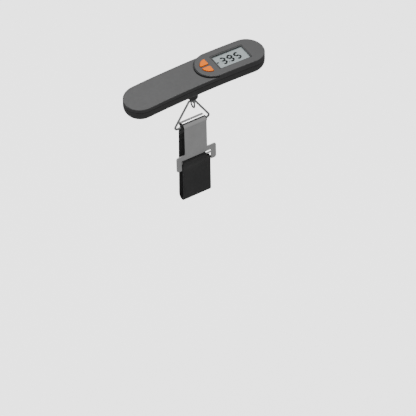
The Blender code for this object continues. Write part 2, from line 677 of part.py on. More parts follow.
def build_battery(build):
    """Coin cell in its holder above the door, with a contact on each face."""
    seat = arch_matrix(BATTERY_X, BOTTOM_Z + WALL)
    centre = (BATTERY_X, 0.0)
    coin = cylinder_mesh("coin_cell", centre, COIN_RADIUS, *COIN_Z, sides=48)
    place(build.node("coin_cell", coin, "steel"), seat)
    bore = COIN_RADIUS + 0.4 * MM
    low, high = HOLDER_Z
    roof = high - 1.0 * MM
    holder = turned_mesh("battery_holder", [(bore, low), (HOLDER_RADIUS, low), (HOLDER_RADIUS, high),
                                            (3 * MM, high), (3 * MM, roof), (bore, roof)], centre, sides=40)
    place(build.node("battery_holder", holder, "black"), seat)
    for name, base in (("battery_contact_positive", COIN_Z[1] + GAP),
                       ("battery_contact_negative", COIN_Z[0] - GAP - CONTACT_SIZE[2])):
        strip = box_mesh(name, *slab(centre, CONTACT_SIZE, base, base + CONTACT_SIZE[2]))
        place(build.node(name, strip, "brass"), seat)


def build_cables(build):
    """Two insulated leads to the board, one from the load cell and one from the battery."""
    routes = {
        "load_cell_cable": [(-15.0, 4.0, -1.0), (-11.0, 7.0, -0.8), (-4.0, 7.4, -1.0), (6.0, 6.4, -1.6),
                            (13.0, 5.6, -2.6), (19.0, 5.2, -2.9), (24.0, 5.0, -2.9)],
        "battery_cable": [(-45.0, -3.0, -4.6), (-41.0, -7.4, -4.6), (-33.0, -8.6, -4.8), (-18.0, -8.2, -5.0),
                          (-2.0, -7.4, -5.0), (6.5, -6.3, -4.8), (12.0, -5.6, -4.4), (20.0, -5.2, -3.6),
                          (26.0, -5.0, -3.4)],
    }
    for name, route in routes.items():
        points = smooth_route([Vector(point) * MM for point in route])
        build.node(name, wire_mesh(name, points, 0.5 * MM, closed=False, sides=2), "wire")


def smooth_route(points, steps=4):
    """Points along a smooth curve through a route's own points (Catmull-Rom)."""
    ends = [2 * points[0] - points[1], *points, 2 * points[-1] - points[-2]]
    result = []
    for a, b, c, d in zip(ends, ends[1:], ends[2:], ends[3:]):
        for i in range(steps):
            t = i / steps
            result.append(0.5 * (2 * b + (c - a) * t + (2 * a - 5 * b + 4 * c - d) * t * t
                                 + (3 * b - a - 3 * c + d) * t ** 3))
    result.append(points[-1])
    return result


# ---------------------------------------------------------------- swivel, ring, strap and plate

def build_swivel(build):
    """Collar, rod with its eye, and the washer and nut that hold it on the load cell."""
    bore = ROD_RADIUS + 0.4 * MM
    collar_profile = [(bore, COLLAR_SPIGOT_TOP_Z), (COLLAR_SPIGOT_RADIUS, COLLAR_SPIGOT_TOP_Z),
                      (COLLAR_SPIGOT_RADIUS, BOTTOM_Z - GAP), *COLLAR_PROFILE, (bore, COLLAR_BOTTOM_Z)]
    build.node("hook_collar", turned_mesh("hook_collar", collar_profile, sides=40), "housing")
    top = EYE_TOP_Z - EYE_HALF_WIDTH
    bottom = EYE_BOTTOM_Z + EYE_HALF_WIDTH
    loop = arc((0.0, top), EYE_HALF_WIDTH, 0.0, math.pi, 12) + arc((0.0, bottom), EYE_HALF_WIDTH, math.pi,
                                                                   2 * math.pi, 12)
    wire = wire_mesh("swivel_eye", [(0.0, y, z) for y, z in loop], EYE_WIRE_RADIUS, closed=True)
    eye = build.node("swivel_eye", wire, "steel")
    build.change(eye, cylinder_mesh("rod", (0.0, 0.0), ROD_RADIUS, EYE_TOP_Z, ROD_TOP_Z, sides=20), "UNION")
    build.change(eye, cylinder_mesh("eye_pin", (0.0, EYE_PIN_Z), EYE_PIN_RADIUS, -EYE_HALF_WIDTH, EYE_HALF_WIDTH,
                                    sides=12, axis="Y"), "UNION")
    hole = ROD_RADIUS + GAP
    low = CELL_Z[1] + GAP
    washer = turned_mesh("swivel_washer", [(hole, low), (WASHER_RADIUS, low), (WASHER_RADIUS, low + 0.8 * MM),
                                           (hole, low + 0.8 * MM)], sides=32)
    build.node("swivel_washer", washer, "brass")
    nut_low = low + 0.8 * MM + GAP
    nut = build.node("swivel_nut", cylinder_mesh("swivel_nut", (0.0, 0.0), NUT_RADIUS, nut_low,
                                                 nut_low + 2.4 * MM, sides=6), "steel")
    build.change(nut, cylinder_mesh("nut_bore", (0.0, 0.0), hole, nut_low - 1 * MM, nut_low + 4 * MM, sides=20))


def build_ring(build):
    """Closed wire ring: short top on the eye's pin, two sloping legs and a long bar."""
    corners = [(RING_CENTRE_X + side * half, z) for side, half, z in (
        (1, RING_TOP_HALF, RING_TOP_Z), (-1, RING_TOP_HALF, RING_TOP_Z), (-1, RING_BAR_HALF, RING_BAR_Z),
        (1, RING_BAR_HALF, RING_BAR_Z))]
    outline = round_corners(corners, [RING_TOP_CORNER] * 2 + [RING_BAR_CORNER] * 2, steps=6)
    pivot = Vector((0.0, 0.0, RING_TOP_Z))
    ring = build.node("triangle_ring", wire_mesh("triangle_ring", [(x, 0.0, z) for x, z in outline],
                                                 RING_WIRE_RADIUS, closed=True), "steel")
    place(ring, Matrix.Identity(4), pivot)


def ribbon(name, centre_line, thickness, half_width):
    """A band of webbing: its centre line in Y and Z thickened, then pulled out to half_width(y, z)."""
    left, right = [], []
    for index, point in enumerate(centre_line):
        before = Vector(centre_line[max(index - 1, 0)])
        after = Vector(centre_line[min(index + 1, len(centre_line) - 1)])
        along = (after - before).normalized()
        across = Vector((-along.y, along.x)) * thickness / 2
        left.append(Vector(point) + across)
        right.append(Vector(point) - across)
    outline = left + list(reversed(right))
    return loft(name, [[(side * half_width(*point), point[0], point[1]) for point in outline]
                       for side in (1, -1)])


def strap_half_width(y, z):
    """The strap narrows towards the ring's bar on its rear layer."""
    if y < -STRAP_HALF_DEPTH / 2:
        return STRAP_WIDTH / 2
    share = min(max((z - STRAP_BOTTOM_Z) / (RING_BAR_Z - STRAP_BOTTOM_Z), 0.0), 1.0)
    return (STRAP_WIDTH + (STRAP_TOP_WIDTH - STRAP_WIDTH) * share) / 2


def build_strap(build):
    """Main length of webbing: sewn round the ring's bar, down behind, up in front."""
    loop = RING_WIRE_RADIUS + GAP + WEB / 2
    bar = (0.0, RING_BAR_Z)
    rear = STRAP_HALF_DEPTH - WEB / 2
    turn = (0.0, STRAP_BOTTOM_Z + STRAP_HALF_DEPTH)
    tail_y = rear - WEB - 0.15 * MM
    line = [(tail_y, STRAP_TAIL_Z), (tail_y, STRAP_TAIL_Z + 7 * MM), (0.7 * MM, RING_BAR_Z - 6 * MM),
            (-1.6 * MM, RING_BAR_Z - 2.6 * MM)]
    line += arc(bar, loop, math.radians(185), 0.0, 12)
    line += [(loop + 0.6 * MM, RING_BAR_Z - 2.5 * MM), (rear - 0.6 * MM, RING_BAR_Z - 5.5 * MM),
             (rear, RING_BAR_Z - 8.5 * MM)]
    line += arc(turn, rear, 0.0, -math.pi, 12)
    line += [(-rear, STRAP_FRONT_TOP_Z)]
    strap = build.node("strap", ribbon("strap", line, WEB, strap_half_width), "webbing")
    place(strap, Matrix.Identity(4), (0.0, 0.0, RING_BAR_Z))


def build_strap_end(build):
    """The strap's end, sewn in a flat loop round the plate's lower bar."""
    middle = PLATE_FRONT_Y + PLATE_THICKNESS / 2
    inner_half = PLATE_THICKNESS / 2 + GAP
    outer_half = inner_half + WEB
    low = STRAP_FRONT_TOP_Z + GAP
    corners = [(middle - outer_half, low), (middle + outer_half, low),
               (middle + outer_half, STRAP_BAR_Z[1] + GAP + WEB), (middle - outer_half, STRAP_BAR_Z[1] + GAP + WEB)]
    outline = round_corners(corners, [1.2 * MM] * 4)
    mesh = loft("strap_end_loop", [[(side * STRAP_WIDTH / 2, y, z) for y, z in outline] for side in (1, -1)])
    end = build.node("strap_end_loop", mesh, "webbing")
    hole = box_mesh("strap_end_hole", (-STRAP_WIDTH, middle - inner_half, STRAP_BAR_Z[0] - 3 * GAP),
                    (STRAP_WIDTH, middle + inner_half, STRAP_BAR_Z[1] + GAP))
    build.change(end, hole)


def wrap_over_bar(bm, neutral):
    """Bend the flat plate's tongue over the ring's bar; neutral is the radius that keeps its length."""
    turn = math.pi * neutral
    axis_y = PLATE_FRONT_Y + PLATE_BEND_RADIUS
    for index in range(BEND_STEPS + 1):
        geometry = bm.verts[:] + bm.edges[:] + bm.faces[:]
        height = PLATE_BEND_Z + turn * index / BEND_STEPS
        bmesh.ops.bisect_plane(bm, geom=geometry, dist=1e-7, plane_co=(0, 0, height), plane_no=(0, 0, 1))
    bmesh.ops.triangulate(bm, faces=bm.faces)
    for vert in bm.verts:
        run = vert.co.z - PLATE_BEND_Z
        radius = axis_y - vert.co.y
        if run > turn:
            vert.co.y, vert.co.z = axis_y + radius, PLATE_BEND_Z - (run - turn)
        elif run > 0:
            angle = run / neutral
            vert.co.y = axis_y - radius * math.cos(angle)
            vert.co.z = PLATE_BEND_Z + radius * math.sin(angle)


def build_plate(build):
    """Stamped hook plate: cut flat, with a fork for the strap, then bent over at the top."""
    neutral = PLATE_BEND_RADIUS - PLATE_THICKNESS / 2
    tongue_top = PLATE_BEND_Z + math.pi * neutral + PLATE_LIP
    tab = TAB_WIDTH / 2
    half = PLATE_WIDTH / 2
    leg = LEG_INNER / 2
    side = [(tab, tongue_top, 1.5 * MM), (tab, CROSSBAR_TOP_Z, 0.8 * MM), (half, CROSSBAR_TOP_Z, PLATE_CORNER),
            (half, LEG_BOTTOM_Z, PLATE_CORNER), (leg, LEG_BOTTOM_Z, 0.8 * MM), (leg, STRAP_BAR_Z[0], 0.0)]
    corners = [(x, z) for x, z, _ in side] + [(-x, z) for x, z, _ in reversed(side)]
    radii = [radius for _, _, radius in side]
    outline = round_corners(corners, radii + radii[::-1])
    back = PLATE_FRONT_Y + PLATE_THICKNESS
    flat = loft("hook_plate", [[(x, y, z) for x, z in outline] for y in (PLATE_FRONT_Y, back)])
    plate = build.node("hook_plate", flat, "plate")
    slot = box_mesh("plate_slot", (-leg, 2 * PLATE_FRONT_Y, STRAP_BAR_Z[1]), (leg, 0.0, CROSSBAR_BOTTOM_Z))
    build.change(plate, slot)
    bm = bmesh.new()
    bm.from_mesh(plate.data)
    wrap_over_bar(bm, neutral)
    bm.to_mesh(plate.data)
    bm.free()
    place(plate, Matrix.Identity(4), (0.0, 0.0, RING_BAR_Z))


def build_scale():
    """Build every sub-part."""
    clear_scene()
    build = Builder()
    head = arch_matrix(DISPLAY_X, HEAD_TOP_Z - WALL / 2)
    build_upper_shell(build)
    build_lower_shell(build)
    build_battery_door(build)
    build_shell_screws(build)
    build_display(build, head)
    build_buttons(build, head)
    build_load_cell(build)
    build_battery(build)
    build_cables(build)
    build_swivel(build)
    build_ring(build)
    build_strap(build)
    build_strap_end(build)
    build_plate(build)


build_scale()
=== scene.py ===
"""Looks of a digital luggage scale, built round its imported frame.

Metres, +Z up, in the frame's own axes: +X towards the display head, -Y towards the reader.
"""
import logging
import math
from dataclasses import dataclass
from enum import Enum
from typing import Callable, Iterable, Optional, Sequence

import bmesh
import bpy
from mathutils import Matrix, Vector


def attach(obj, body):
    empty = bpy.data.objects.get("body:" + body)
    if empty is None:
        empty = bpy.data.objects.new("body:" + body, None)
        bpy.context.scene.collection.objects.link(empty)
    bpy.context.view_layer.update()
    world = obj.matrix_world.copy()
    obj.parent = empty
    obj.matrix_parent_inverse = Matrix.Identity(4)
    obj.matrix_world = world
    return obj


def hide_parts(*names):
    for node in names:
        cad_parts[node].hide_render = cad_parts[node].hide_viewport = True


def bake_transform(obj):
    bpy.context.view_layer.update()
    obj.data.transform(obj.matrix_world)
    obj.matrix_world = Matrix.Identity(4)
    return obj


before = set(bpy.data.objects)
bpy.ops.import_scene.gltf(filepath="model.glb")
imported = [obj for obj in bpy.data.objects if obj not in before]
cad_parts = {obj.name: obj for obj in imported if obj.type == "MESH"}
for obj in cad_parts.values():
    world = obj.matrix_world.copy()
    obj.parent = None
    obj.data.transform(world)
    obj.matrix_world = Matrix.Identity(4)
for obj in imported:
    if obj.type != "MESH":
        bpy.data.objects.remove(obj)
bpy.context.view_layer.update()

MM = 0.001
TURN = 2 * math.pi
PROUD = 1 * MM               # how far a cutter stands past what it cuts
NEARLY = 0.01 * MM           # two heights closer than this count as one
Colour = tuple[float, float, float]
Point2 = tuple[float, float]
LOG = logging.getLogger("luggage_scale")


# ---------------------------------------------------------------- finishes

class Graph:
    """The nodes of one material, wired to its Principled shader."""

    def __init__(self, name: str) -> None:
        """Start a material with a bare Principled shader.

        Args:
            name: the material's name.
        """
        self.material = bpy.data.materials.new(name)
        self.material.use_nodes = True
        self.tree = self.material.node_tree
        self.shader = self.tree.nodes["Principled BSDF"]
        self.coordinates = self.tree.nodes.new("ShaderNodeTexCoord")

    def set(self, **values: object) -> None:
        """Put constant values on the shader's own sockets, named with underscores for spaces.

        Args:
            values: one number or colour for each socket.
        """
        for name, value in values.items():
            self.shader.inputs[name.replace("_", " ")].default_value = value

    def node(self, kind: str, **settings: object) -> bpy.types.Node:
        """A new node of a kind, with its properties set.

        Args:
            kind: the node's type.
            settings: its properties by name.

        Returns:
            The node.
        """
        made = self.tree.nodes.new(kind)
        for name, value in settings.items():
            setattr(made, name, value)
        return made

    def link(self, source: bpy.types.NodeSocket, target: bpy.types.NodeSocket) -> None:
        """Join two sockets."""
        self.tree.links.new(source, target)

    def place(self, stretch: Sequence[float] = (1, 1, 1), source: str = "Object") -> bpy.types.NodeSocket:
        """Coordinates scaled along each axis.

        Args:
            stretch: how many times finer the pattern is along each axis.
            source: Object or UV.

        Returns:
            The socket to feed a texture with.
        """
        mapping = self.node("ShaderNodeMapping")
        mapping.inputs["Scale"].default_value = stretch
        self.link(self.coordinates.outputs[source], mapping.inputs["Vector"])
        return mapping.outputs["Vector"]

    def noise(self, scale: float, detail: float = 3.0, stretch: Sequence[float] = (1, 1, 1),
              source: str = "Object") -> bpy.types.NodeSocket:
        """Noise from 0 to 1 at a scale in cycles per metre.

        Args:
            scale: cycles per metre.
            detail: how many finer layers it has.
            stretch: how many times finer it is along each axis.
            source: Object or UV.

        Returns:
            The value's socket.
        """
        texture = self.node("ShaderNodeTexNoise")
        texture.inputs["Scale"].default_value = scale
        texture.inputs["Detail"].default_value = detail
        self.link(self.place(stretch, source), texture.inputs["Vector"])
        return texture.outputs["Fac"]

    def wave(self, scale: float, stretch: Sequence[float], axis: str, source: str = "UV",
             distortion: float = 0.0) -> bpy.types.NodeSocket:
        """Straight sine bands across one axis.

        Args:
            scale: the wave texture's scale.
            stretch: how many times finer it is along each axis.
            axis: the axis that the bands cross.
            source: Object or UV.
            distortion: how much the bands waver.

        Returns:
            The value's socket.
        """
        texture = self.node("ShaderNodeTexWave", wave_type="BANDS", bands_direction=axis)
        texture.inputs["Scale"].default_value = scale
        texture.inputs["Distortion"].default_value = distortion
        self.link(self.place(stretch, source), texture.inputs["Vector"])
        return texture.outputs["Fac"]

    def span(self, value: bpy.types.NodeSocket, low: float, high: float, start: float = 0.3,
             end: float = 0.7) -> bpy.types.NodeSocket:
        """A value from start..end moved to low..high.

        Args:
            value: the value to move.
            low: what start becomes.
            high: what end becomes.
            start: the value's own lower limit.
            end: its upper limit.

        Returns:
            The moved value's socket.
        """
        made = self.node("ShaderNodeMapRange")
        for name, number in (("From Min", start), ("From Max", end), ("To Min", low), ("To Max", high)):
            made.inputs[name].default_value = number
        self.link(value, made.inputs["Value"])
        return made.outputs["Result"]

    def math(self, operation: str, first: bpy.types.NodeSocket, second: object) -> bpy.types.NodeSocket:
        """One sum of two values, the second a socket or a number.

        Args:
            operation: the sum to do.
            first: its first value.
            second: its second value.

        Returns:
            The result's socket.
        """
        made = self.node("ShaderNodeMath", operation=operation)
        self.link(first, made.inputs[0])
        if isinstance(second, (int, float)):
            made.inputs[1].default_value = second
        else:
            self.link(second, made.inputs[1])
        return made.outputs[0]

    def tint(self, factor: bpy.types.NodeSocket, first: Colour, second: Colour) -> bpy.types.NodeSocket:
        """A colour that goes from first to second with a factor.

        Args:
            factor: 0 gives the first colour and 1 the second.
            first: the first colour.
            second: the second colour.

        Returns:
            The colour's socket.
        """
        made = self.node("ShaderNodeMix", data_type="RGBA")
        for socket in made.inputs:
            if socket.identifier == "A_Color":
                socket.default_value = (*first, 1.0)
            elif socket.identifier == "B_Color":
                socket.default_value = (*second, 1.0)
        self.link(factor, made.inputs["Factor"])
        return next(socket for socket in made.outputs if socket.identifier == "Result_Color")

    def bump(self, height: bpy.types.NodeSocket, depth: float) -> None:
        """Relief of a depth in metres, laid over what is there already.

        Args:
            height: the relief, from 0 to 1.
            depth: its depth in metres.
        """
        made = self.node("ShaderNodeBump")
        made.inputs["Distance"].default_value = depth
        self.link(height, made.inputs["Height"])
        normal = self.shader.inputs["Normal"]
        if normal.links:
            self.link(normal.links[0].from_socket, made.inputs["Normal"])
        self.link(made.outputs["Normal"], normal)

    def colour(self, socket: bpy.types.NodeSocket) -> None:
        """Feed the base colour."""
        self.link(socket, self.shader.inputs["Base Color"])

    def roughness(self, socket: bpy.types.NodeSocket) -> None:
        """Feed the roughness."""
        self.link(socket, self.shader.inputs["Roughness"])


def shade(colour: Colour, share: float) -> Colour:
    """A colour made lighter or darker by a share."""
    return tuple(min(1.0, channel * share) for channel in colour)


@dataclass(frozen=True)
class Moulded:
    """Moulded plastic or rubber with a fine spark-eroded grain."""

    name: str
    colour: Colour
    roughness: float = 0.5
    grain: float = 2600.0
    depth: float = 0.02 * MM
    mottle: float = 0.06
    specular: float = 0.5

    def build(self) -> bpy.types.Material:
        """Make the material.

        Returns:
            The material.
        """
        graph = Graph(self.name)
        graph.set(IOR=1.5, Specular_IOR_Level=self.specular)
        cloud = graph.noise(60.0, 2.0)
        graph.colour(graph.tint(graph.span(cloud, 0.0, 1.0), shade(self.colour, 1 - self.mottle),
                                shade(self.colour, 1 + self.mottle)))
        graph.roughness(graph.span(graph.noise(300.0, 4.0), self.roughness - 0.05, self.roughness + 0.05))
        graph.bump(graph.noise(self.grain, 2.0), self.depth)
        return graph.material


@dataclass(frozen=True)
class Drawn:
    """Bare metal with fine lines along one axis and faint blotches."""

    name: str
    colour: Colour
    roughness: float = 0.35
    lines: tuple[float, float, float] = (1.0, 1.0, 1.0)
    pitch: float = 1500.0
    depth: float = 0.006 * MM

    def build(self) -> bpy.types.Material:
        """Make the material.

        Returns:
            The material.
        """
        graph = Graph(self.name)
        graph.set(Metallic=1.0)
        lines = graph.noise(self.pitch, 4.0, self.lines)
        blotch = graph.noise(90.0, 3.0)
        graph.colour(graph.tint(graph.span(blotch, 0.0, 1.0), shade(self.colour, 0.93),
                                shade(self.colour, 1.05)))
        worn = graph.span(blotch, self.roughness - 0.04, self.roughness + 0.06)
        graph.roughness(graph.math("ADD", graph.span(lines, -0.06, 0.06), worn))
        graph.bump(lines, self.depth)
        return graph.material


@dataclass(frozen=True)
class BentSteel:
    """Stamped steel sheet: dull and brushed below, polished where it was bent at the top, with a painted
    white highlight lightening its colour on the bend.
    """

    name: str
    colour: Colour
    roughness: float
    dull_below: float
    bright_above: float
    polished: float = 0.14
    # painted highlight: near-white colour laid on the polished bend
    glint_colour: Colour = (0.92, 0.92, 0.92)
    pitch: float = 2400.0
    depth: float = 0.006 * MM

    def build(self) -> bpy.types.Material:
        """Make the material.

        Returns:
            The material.
        """
        graph = Graph(self.name)
        graph.set(Specular_IOR_Level=0.5)
        split = graph.node("ShaderNodeSeparateXYZ")
        graph.link(graph.coordinates.outputs["Object"], split.inputs[0])
        polish_and_glint = graph.span(split.outputs["Z"], 0.0, 1.0, self.dull_below, self.bright_above)
        lines = graph.noise(self.pitch, 4.0, (1.0, 1.0, 0.04))
        blotch = graph.noise(80.0, 3.0)
        glint_and_blotch = graph.math("ADD", graph.math("MULTIPLY", polish_and_glint, 0.8), graph.span(blotch, 0.0, 0.2))
        # colour goes towards the painted white highlight over the bend, plus random blotchy tone everywhere
        graph.colour(graph.tint(glint_and_blotch, self.colour, self.glint_colour))
        worn = graph.math("ADD", graph.span(lines, -0.03, 0.03), graph.span(blotch, -0.02, 0.04))
        finish = graph.span(polish_and_glint, self.roughness, self.polished, 0.0, 1.0)
        graph.roughness(graph.math("ADD", worn, finish))
        graph.link(graph.span(polish_and_glint, 0.75, 1.0, 0.0, 1.0), graph.shader.inputs["Metallic"])
        dull = graph.span(polish_and_glint, 1.0, 0.0, 0.0, 1.0)
        graph.bump(graph.math("MULTIPLY", lines, dull), self.depth)
        return graph.material


@dataclass(frozen=True)
class Webbing:
    """Flat woven webbing: ribs along the length crossed by picks, on the piece's UV map in metres."""

    name: str
    colour: Colour
    rib: float = 1.1 * MM
    pick: float = 0.8 * MM
    relief: float = 0.16 * MM

    def build(self) -> bpy.types.Material:
        """Make the material.

        Returns:
            The material.
        """
        graph = Graph(self.name)
        graph.set(Sheen_Weight=0.25, Sheen_Roughness=0.45, Specular_IOR_Level=0.25, Roughness=0.85)
        band = TURN / 20.0            # a wave texture's bands repeat at this length over its scale
        ribs = graph.wave(1.0, (band / self.rib, 1.0, 1.0), "X")
        picks = graph.wave(1.0, (1.0, band / self.pick, 1.0), "Y")
        weave = graph.math("MULTIPLY", ribs, graph.span(picks, 0.35, 1.0, 0.0, 1.0))
        fibre = graph.noise(1400.0, 3.0, (3.0, 1.0, 1.0), "UV")
        height = graph.math("ADD", weave, graph.math("MULTIPLY", fibre, 0.35))
        worn = graph.math("MULTIPLY", height, graph.span(graph.noise(70.0, 2.0), 0.75, 1.1))
        graph.colour(graph.tint(graph.span(worn, 0.0, 1.0, 0.1, 1.2), shade(self.colour, 0.45),
                                shade(self.colour, 1.5)))
        graph.bump(height, self.relief)
        return graph.material


@dataclass(frozen=True)
class Pane:
    """Clear moulded window with the faintest scuffs."""

    name: str
    alpha: float = 0.04

    def build(self) -> bpy.types.Material:
        """Make the material.

        Returns:
            The material.
        """
        graph = Graph(self.name)
        graph.set(Base_Color=(0.3, 0.32, 0.32, 1.0), IOR=1.49, Alpha=self.alpha)
        graph.roughness(graph.span(graph.noise(500.0, 4.0), 0.03, 0.09))
        graph.bump(graph.noise(45.0, 2.0), 0.004 * MM)
        return graph.material


@dataclass(frozen=True)
class LiquidCrystal:
    """The display's pale reflector seen through its glass."""

    name: str
    colour: Colour

    def build(self) -> bpy.types.Material:
        """Make the material.

        Returns:
            The material.
        """
        graph = Graph(self.name)
        graph.set(IOR=1.5, Specular_IOR_Level=0.6, Coat_Weight=0.4, Coat_Roughness=0.08)
        speck = graph.noise(5200.0, 2.0)
        cloud = graph.noise(40.0, 2.0)
        mixed = graph.math("ADD", graph.span(speck, -0.2, 0.2), graph.span(cloud, 0.3, 0.7))
        graph.colour(graph.tint(mixed, shade(self.colour, 0.93), shade(self.colour, 1.05)))
        graph.roughness(graph.span(speck, 0.3, 0.42))
        return graph.material


@dataclass(frozen=True)
class Laminate:
    """Circuit board: resist over a copper pattern."""

    name: str
    colour: Colour

    def build(self) -> bpy.types.Material:
        """Make the material.

        Returns:
            The material.
        """
        graph = Graph(self.name)
        graph.set(Coat_Weight=0.3, Coat_Roughness=0.2)
        tracks = graph.span(graph.wave(1.0, (260.0, 30.0, 1.0), "X", "Object", 1.5), 0.0, 1.0, 0.55, 0.62)
        graph.colour(graph.tint(tracks, self.colour, shade(self.colour, 1.8)))
        graph.roughness(graph.span(graph.noise(700.0), 0.35, 0.5))
        graph.bump(tracks, 0.03 * MM)
        return graph.material


class Finish(Enum):
    """Every finish on the scale."""

    HOUSING = Moulded("satin_grey_housing", (0.066, 0.066, 0.067), 0.55, depth=0.025 * MM, mottle=0.04)
    UNDERSIDE = Moulded("satin_grey_underside", (0.058, 0.058, 0.059), 0.6, depth=0.03 * MM, mottle=0.04)
    COLLAR = Moulded("collar_plastic", (0.048, 0.048, 0.049), 0.55)
    # near-black painted shade, used for the strip at the head's step and the window's shaded walls
    BLACK = Moulded("painted_shade_black", (0.010, 0.010, 0.011), 0.45)
    INNER = Moulded("inner_plastic", (0.03, 0.03, 0.032), 0.5)
    ORANGE = Moulded("orange_button", (1.0, 0.21, 0.004), 0.55, mottle=0.03, specular=0.12)
    RUBBER = Moulded("contact_rubber", (0.03, 0.03, 0.03), 0.8)
    SHEATH = Moulded("lead_sheath", (0.45, 0.02, 0.02), 0.5)
    INK = Moulded("display_segment", (0.002, 0.002, 0.003), 0.7, mottle=0.3, specular=0.02)
    GHOST = Moulded("display_segment_off", (0.37, 0.425, 0.43), 0.6, mottle=0.02, specular=0.1)
    THREAD = Moulded("sewing_thread", (0.022, 0.022, 0.023), 0.8, grain=4000.0, depth=0.05 * MM)
    WEBBING = Webbing("black_webbing", (0.072, 0.072, 0.0725))
    PANE = Pane("display_window")
    DISPLAY = LiquidCrystal("display_glass", (0.40, 0.46, 0.465))
    BOARD = Laminate("board_laminate", (0.015, 0.11, 0.05))
    WIRE = Drawn("wire_steel", (0.36, 0.362, 0.362), 0.34, (1.0, 1.0, 0.25))
    PLATE = BentSteel("stamped_steel", (0.62, 0.622, 0.622), 0.45, -61.4 * MM, -60.2 * MM)
    BEAM = Drawn("milled_aluminium", (0.6, 0.61, 0.62), 0.4, (0.05, 1.0, 1.0), 2600.0)
    BRASS = Drawn("plated_brass", (0.65, 0.48, 0.2), 0.35, (1.0, 0.1, 1.0))
    FOIL = Drawn("gauge_foil", (0.5, 0.24, 0.07), 0.5, (1.0, 0.1, 1.0))

    def material(self) -> bpy.types.Material:
        """This finish's material, built once.

        Returns:
            The material.
        """
        made = bpy.data.materials.get(self.value.name)
        return made if made else self.value.build()


# ---------------------------------------------------------------- making pieces

def points_on_arc(centre: Point2, radius: float, start: float, end: float, steps: int) -> list[Point2]:
    """Points along an arc.

    Args:
        centre: the arc's centre.
        radius: its radius.
        start: first angle in radians.
        end: last angle in radians.
        steps: number of spans.

    Returns:
        The points, both ends included.
    """
    return [(centre[0] + radius * math.cos(start + (end - start) * i / steps),
             centre[1] + radius * math.sin(start + (end - start) * i / steps)) for i in range(steps + 1)]


def round_corners(points: Sequence[Point2], radii: Sequence[float], steps: int = 6) -> list[Point2]:
    """An outline with its corners replaced by arcs.

    Args:
        points: the corners in order.
        radii: one radius for each corner; 0 keeps it sharp.
        steps: spans on each arc.

    Returns:
        The rounded outline.
    """
    result: list[Point2] = []
    for index, radius in enumerate(radii):
        corner = Vector(points[index])
        if radius == 0:
            result.append(tuple(corner))
            continue
        back = (Vector(points[index - 1]) - corner).normalized()
        ahead = (Vector(points[(index + 1) % len(points)]) - corner).normalized()
        half = back.angle(ahead) / 2
        middle = corner + (back + ahead).normalized() * radius / math.sin(half)
        first = corner + back * radius / math.tan(half) - middle
        turn = first.angle_signed(corner + ahead * radius / math.tan(half) - middle)
        start = math.atan2(first.y, first.x)
        result += points_on_arc(tuple(middle), radius, start, start - turn, steps)
    return result


def rectangle(middle: Point2, size: Point2) -> list[Point2]:
    """The corners of a rectangle about a middle point, anticlockwise from its near right one."""
    return [(middle[0] + sx * size[0] / 2, middle[1] + sy * size[1] / 2)
            for sx, sy in ((1, -1), (1, 1), (-1, 1), (-1, -1))]


def extruded(outline: Sequence[Point2], low: float, high: float) -> bmesh.types.BMesh:
    """A flat outline in X and Y pulled up into a solid.

    Args:
        outline: the outline's points in order.
        low: height of the lower face.
        high: height of the upper face.

    Returns:
        The closed solid.
    """
    bm = bmesh.new()
    face = bm.faces.new([bm.verts.new((x, y, low)) for x, y in outline])
    made = bmesh.ops.extrude_face_region(bm, geom=[face], use_keep_orig=True)
    top = [item for item in made["geom"] if isinstance(item, bmesh.types.BMVert)]
    bmesh.ops.translate(bm, vec=(0.0, 0.0, high - low), verts=top)
    bmesh.ops.recalc_face_normals(bm, faces=bm.faces)
    return bm


def turned(profile: Sequence[Point2], centre: Point2 = (0.0, 0.0), steps: int = 64) -> bmesh.types.BMesh:
    """A closed (radius, z) profile spun a full turn about a vertical axis.

    Args:
        profile: the section's points in order.
        centre: the axis in plan.
        steps: facets round the turn.

    Returns:
        The closed solid.
    """
    bm = bmesh.new()
    verts = [bm.verts.new((radius, 0.0, z)) for radius, z in profile]
    edges = [bm.edges.new((verts[i - 1], verts[i])) for i in range(len(verts))]
    bmesh.ops.spin(bm, geom=verts + edges, cent=(0, 0, 0), axis=(0, 0, 1), angle=TURN, steps=steps,
                   use_merge=True)
    bmesh.ops.translate(bm, vec=(centre[0], centre[1], 0.0), verts=bm.verts)
    bmesh.ops.remove_doubles(bm, verts=bm.verts, dist=0.0005 * MM)
    bmesh.ops.recalc_face_normals(bm, faces=bm.faces)
    return bm


def block(low: Sequence[float], high: Sequence[float]) -> bmesh.types.BMesh:
    """A box between two corners, for cutting with.

    Args:
        low: the lowest corner.
        high: the highest corner.

    Returns:
        The closed solid.
    """
    bm = bmesh.new()
    size = Vector(high) - Vector(low)
    bmesh.ops.create_cube(bm, size=1.0)
    bmesh.ops.scale(bm, vec=size, verts=bm.verts)
    bmesh.ops.translate(bm, vec=Vector(low) + size / 2, verts=bm.verts)
    return bm


def to_object(bm: bmesh.types.BMesh, name: str, finish: Optional[Finish] = None,
              sharp: float = 35.0) -> bpy.types.Object:
    """Make a scene object of a bmesh and free it.

    Args:
        bm: the finished bmesh.
        name: the object's name.
        finish: its finish, or None for a cutter.
        sharp: edges sharper than this many degrees stay hard.

    Returns:
        The object, linked to the scene.
    """
    mesh = bpy.data.meshes.new(name)
    bm.to_mesh(mesh)
    bm.free()
    mesh.shade_smooth()
    mesh.set_sharp_from_angle(angle=math.radians(sharp))
    if finish is not None:
        mesh.materials.append(finish.material())
    obj = bpy.data.objects.new(name, mesh)
    bpy.context.scene.collection.objects.link(obj)
    return obj


def evaluated(obj: bpy.types.Object) -> bmesh.types.BMesh:
    """The bmesh that an object's modifiers give.

    Args:
        obj: the object.

    Returns:
        A new bmesh.
    """
    depsgraph = bpy.context.evaluated_depsgraph_get()
    made = bpy.data.meshes.new_from_object(obj.evaluated_get(depsgraph))
    bm = bmesh.new()
    bm.from_mesh(made)
    bpy.data.meshes.remove(made)
    return bm


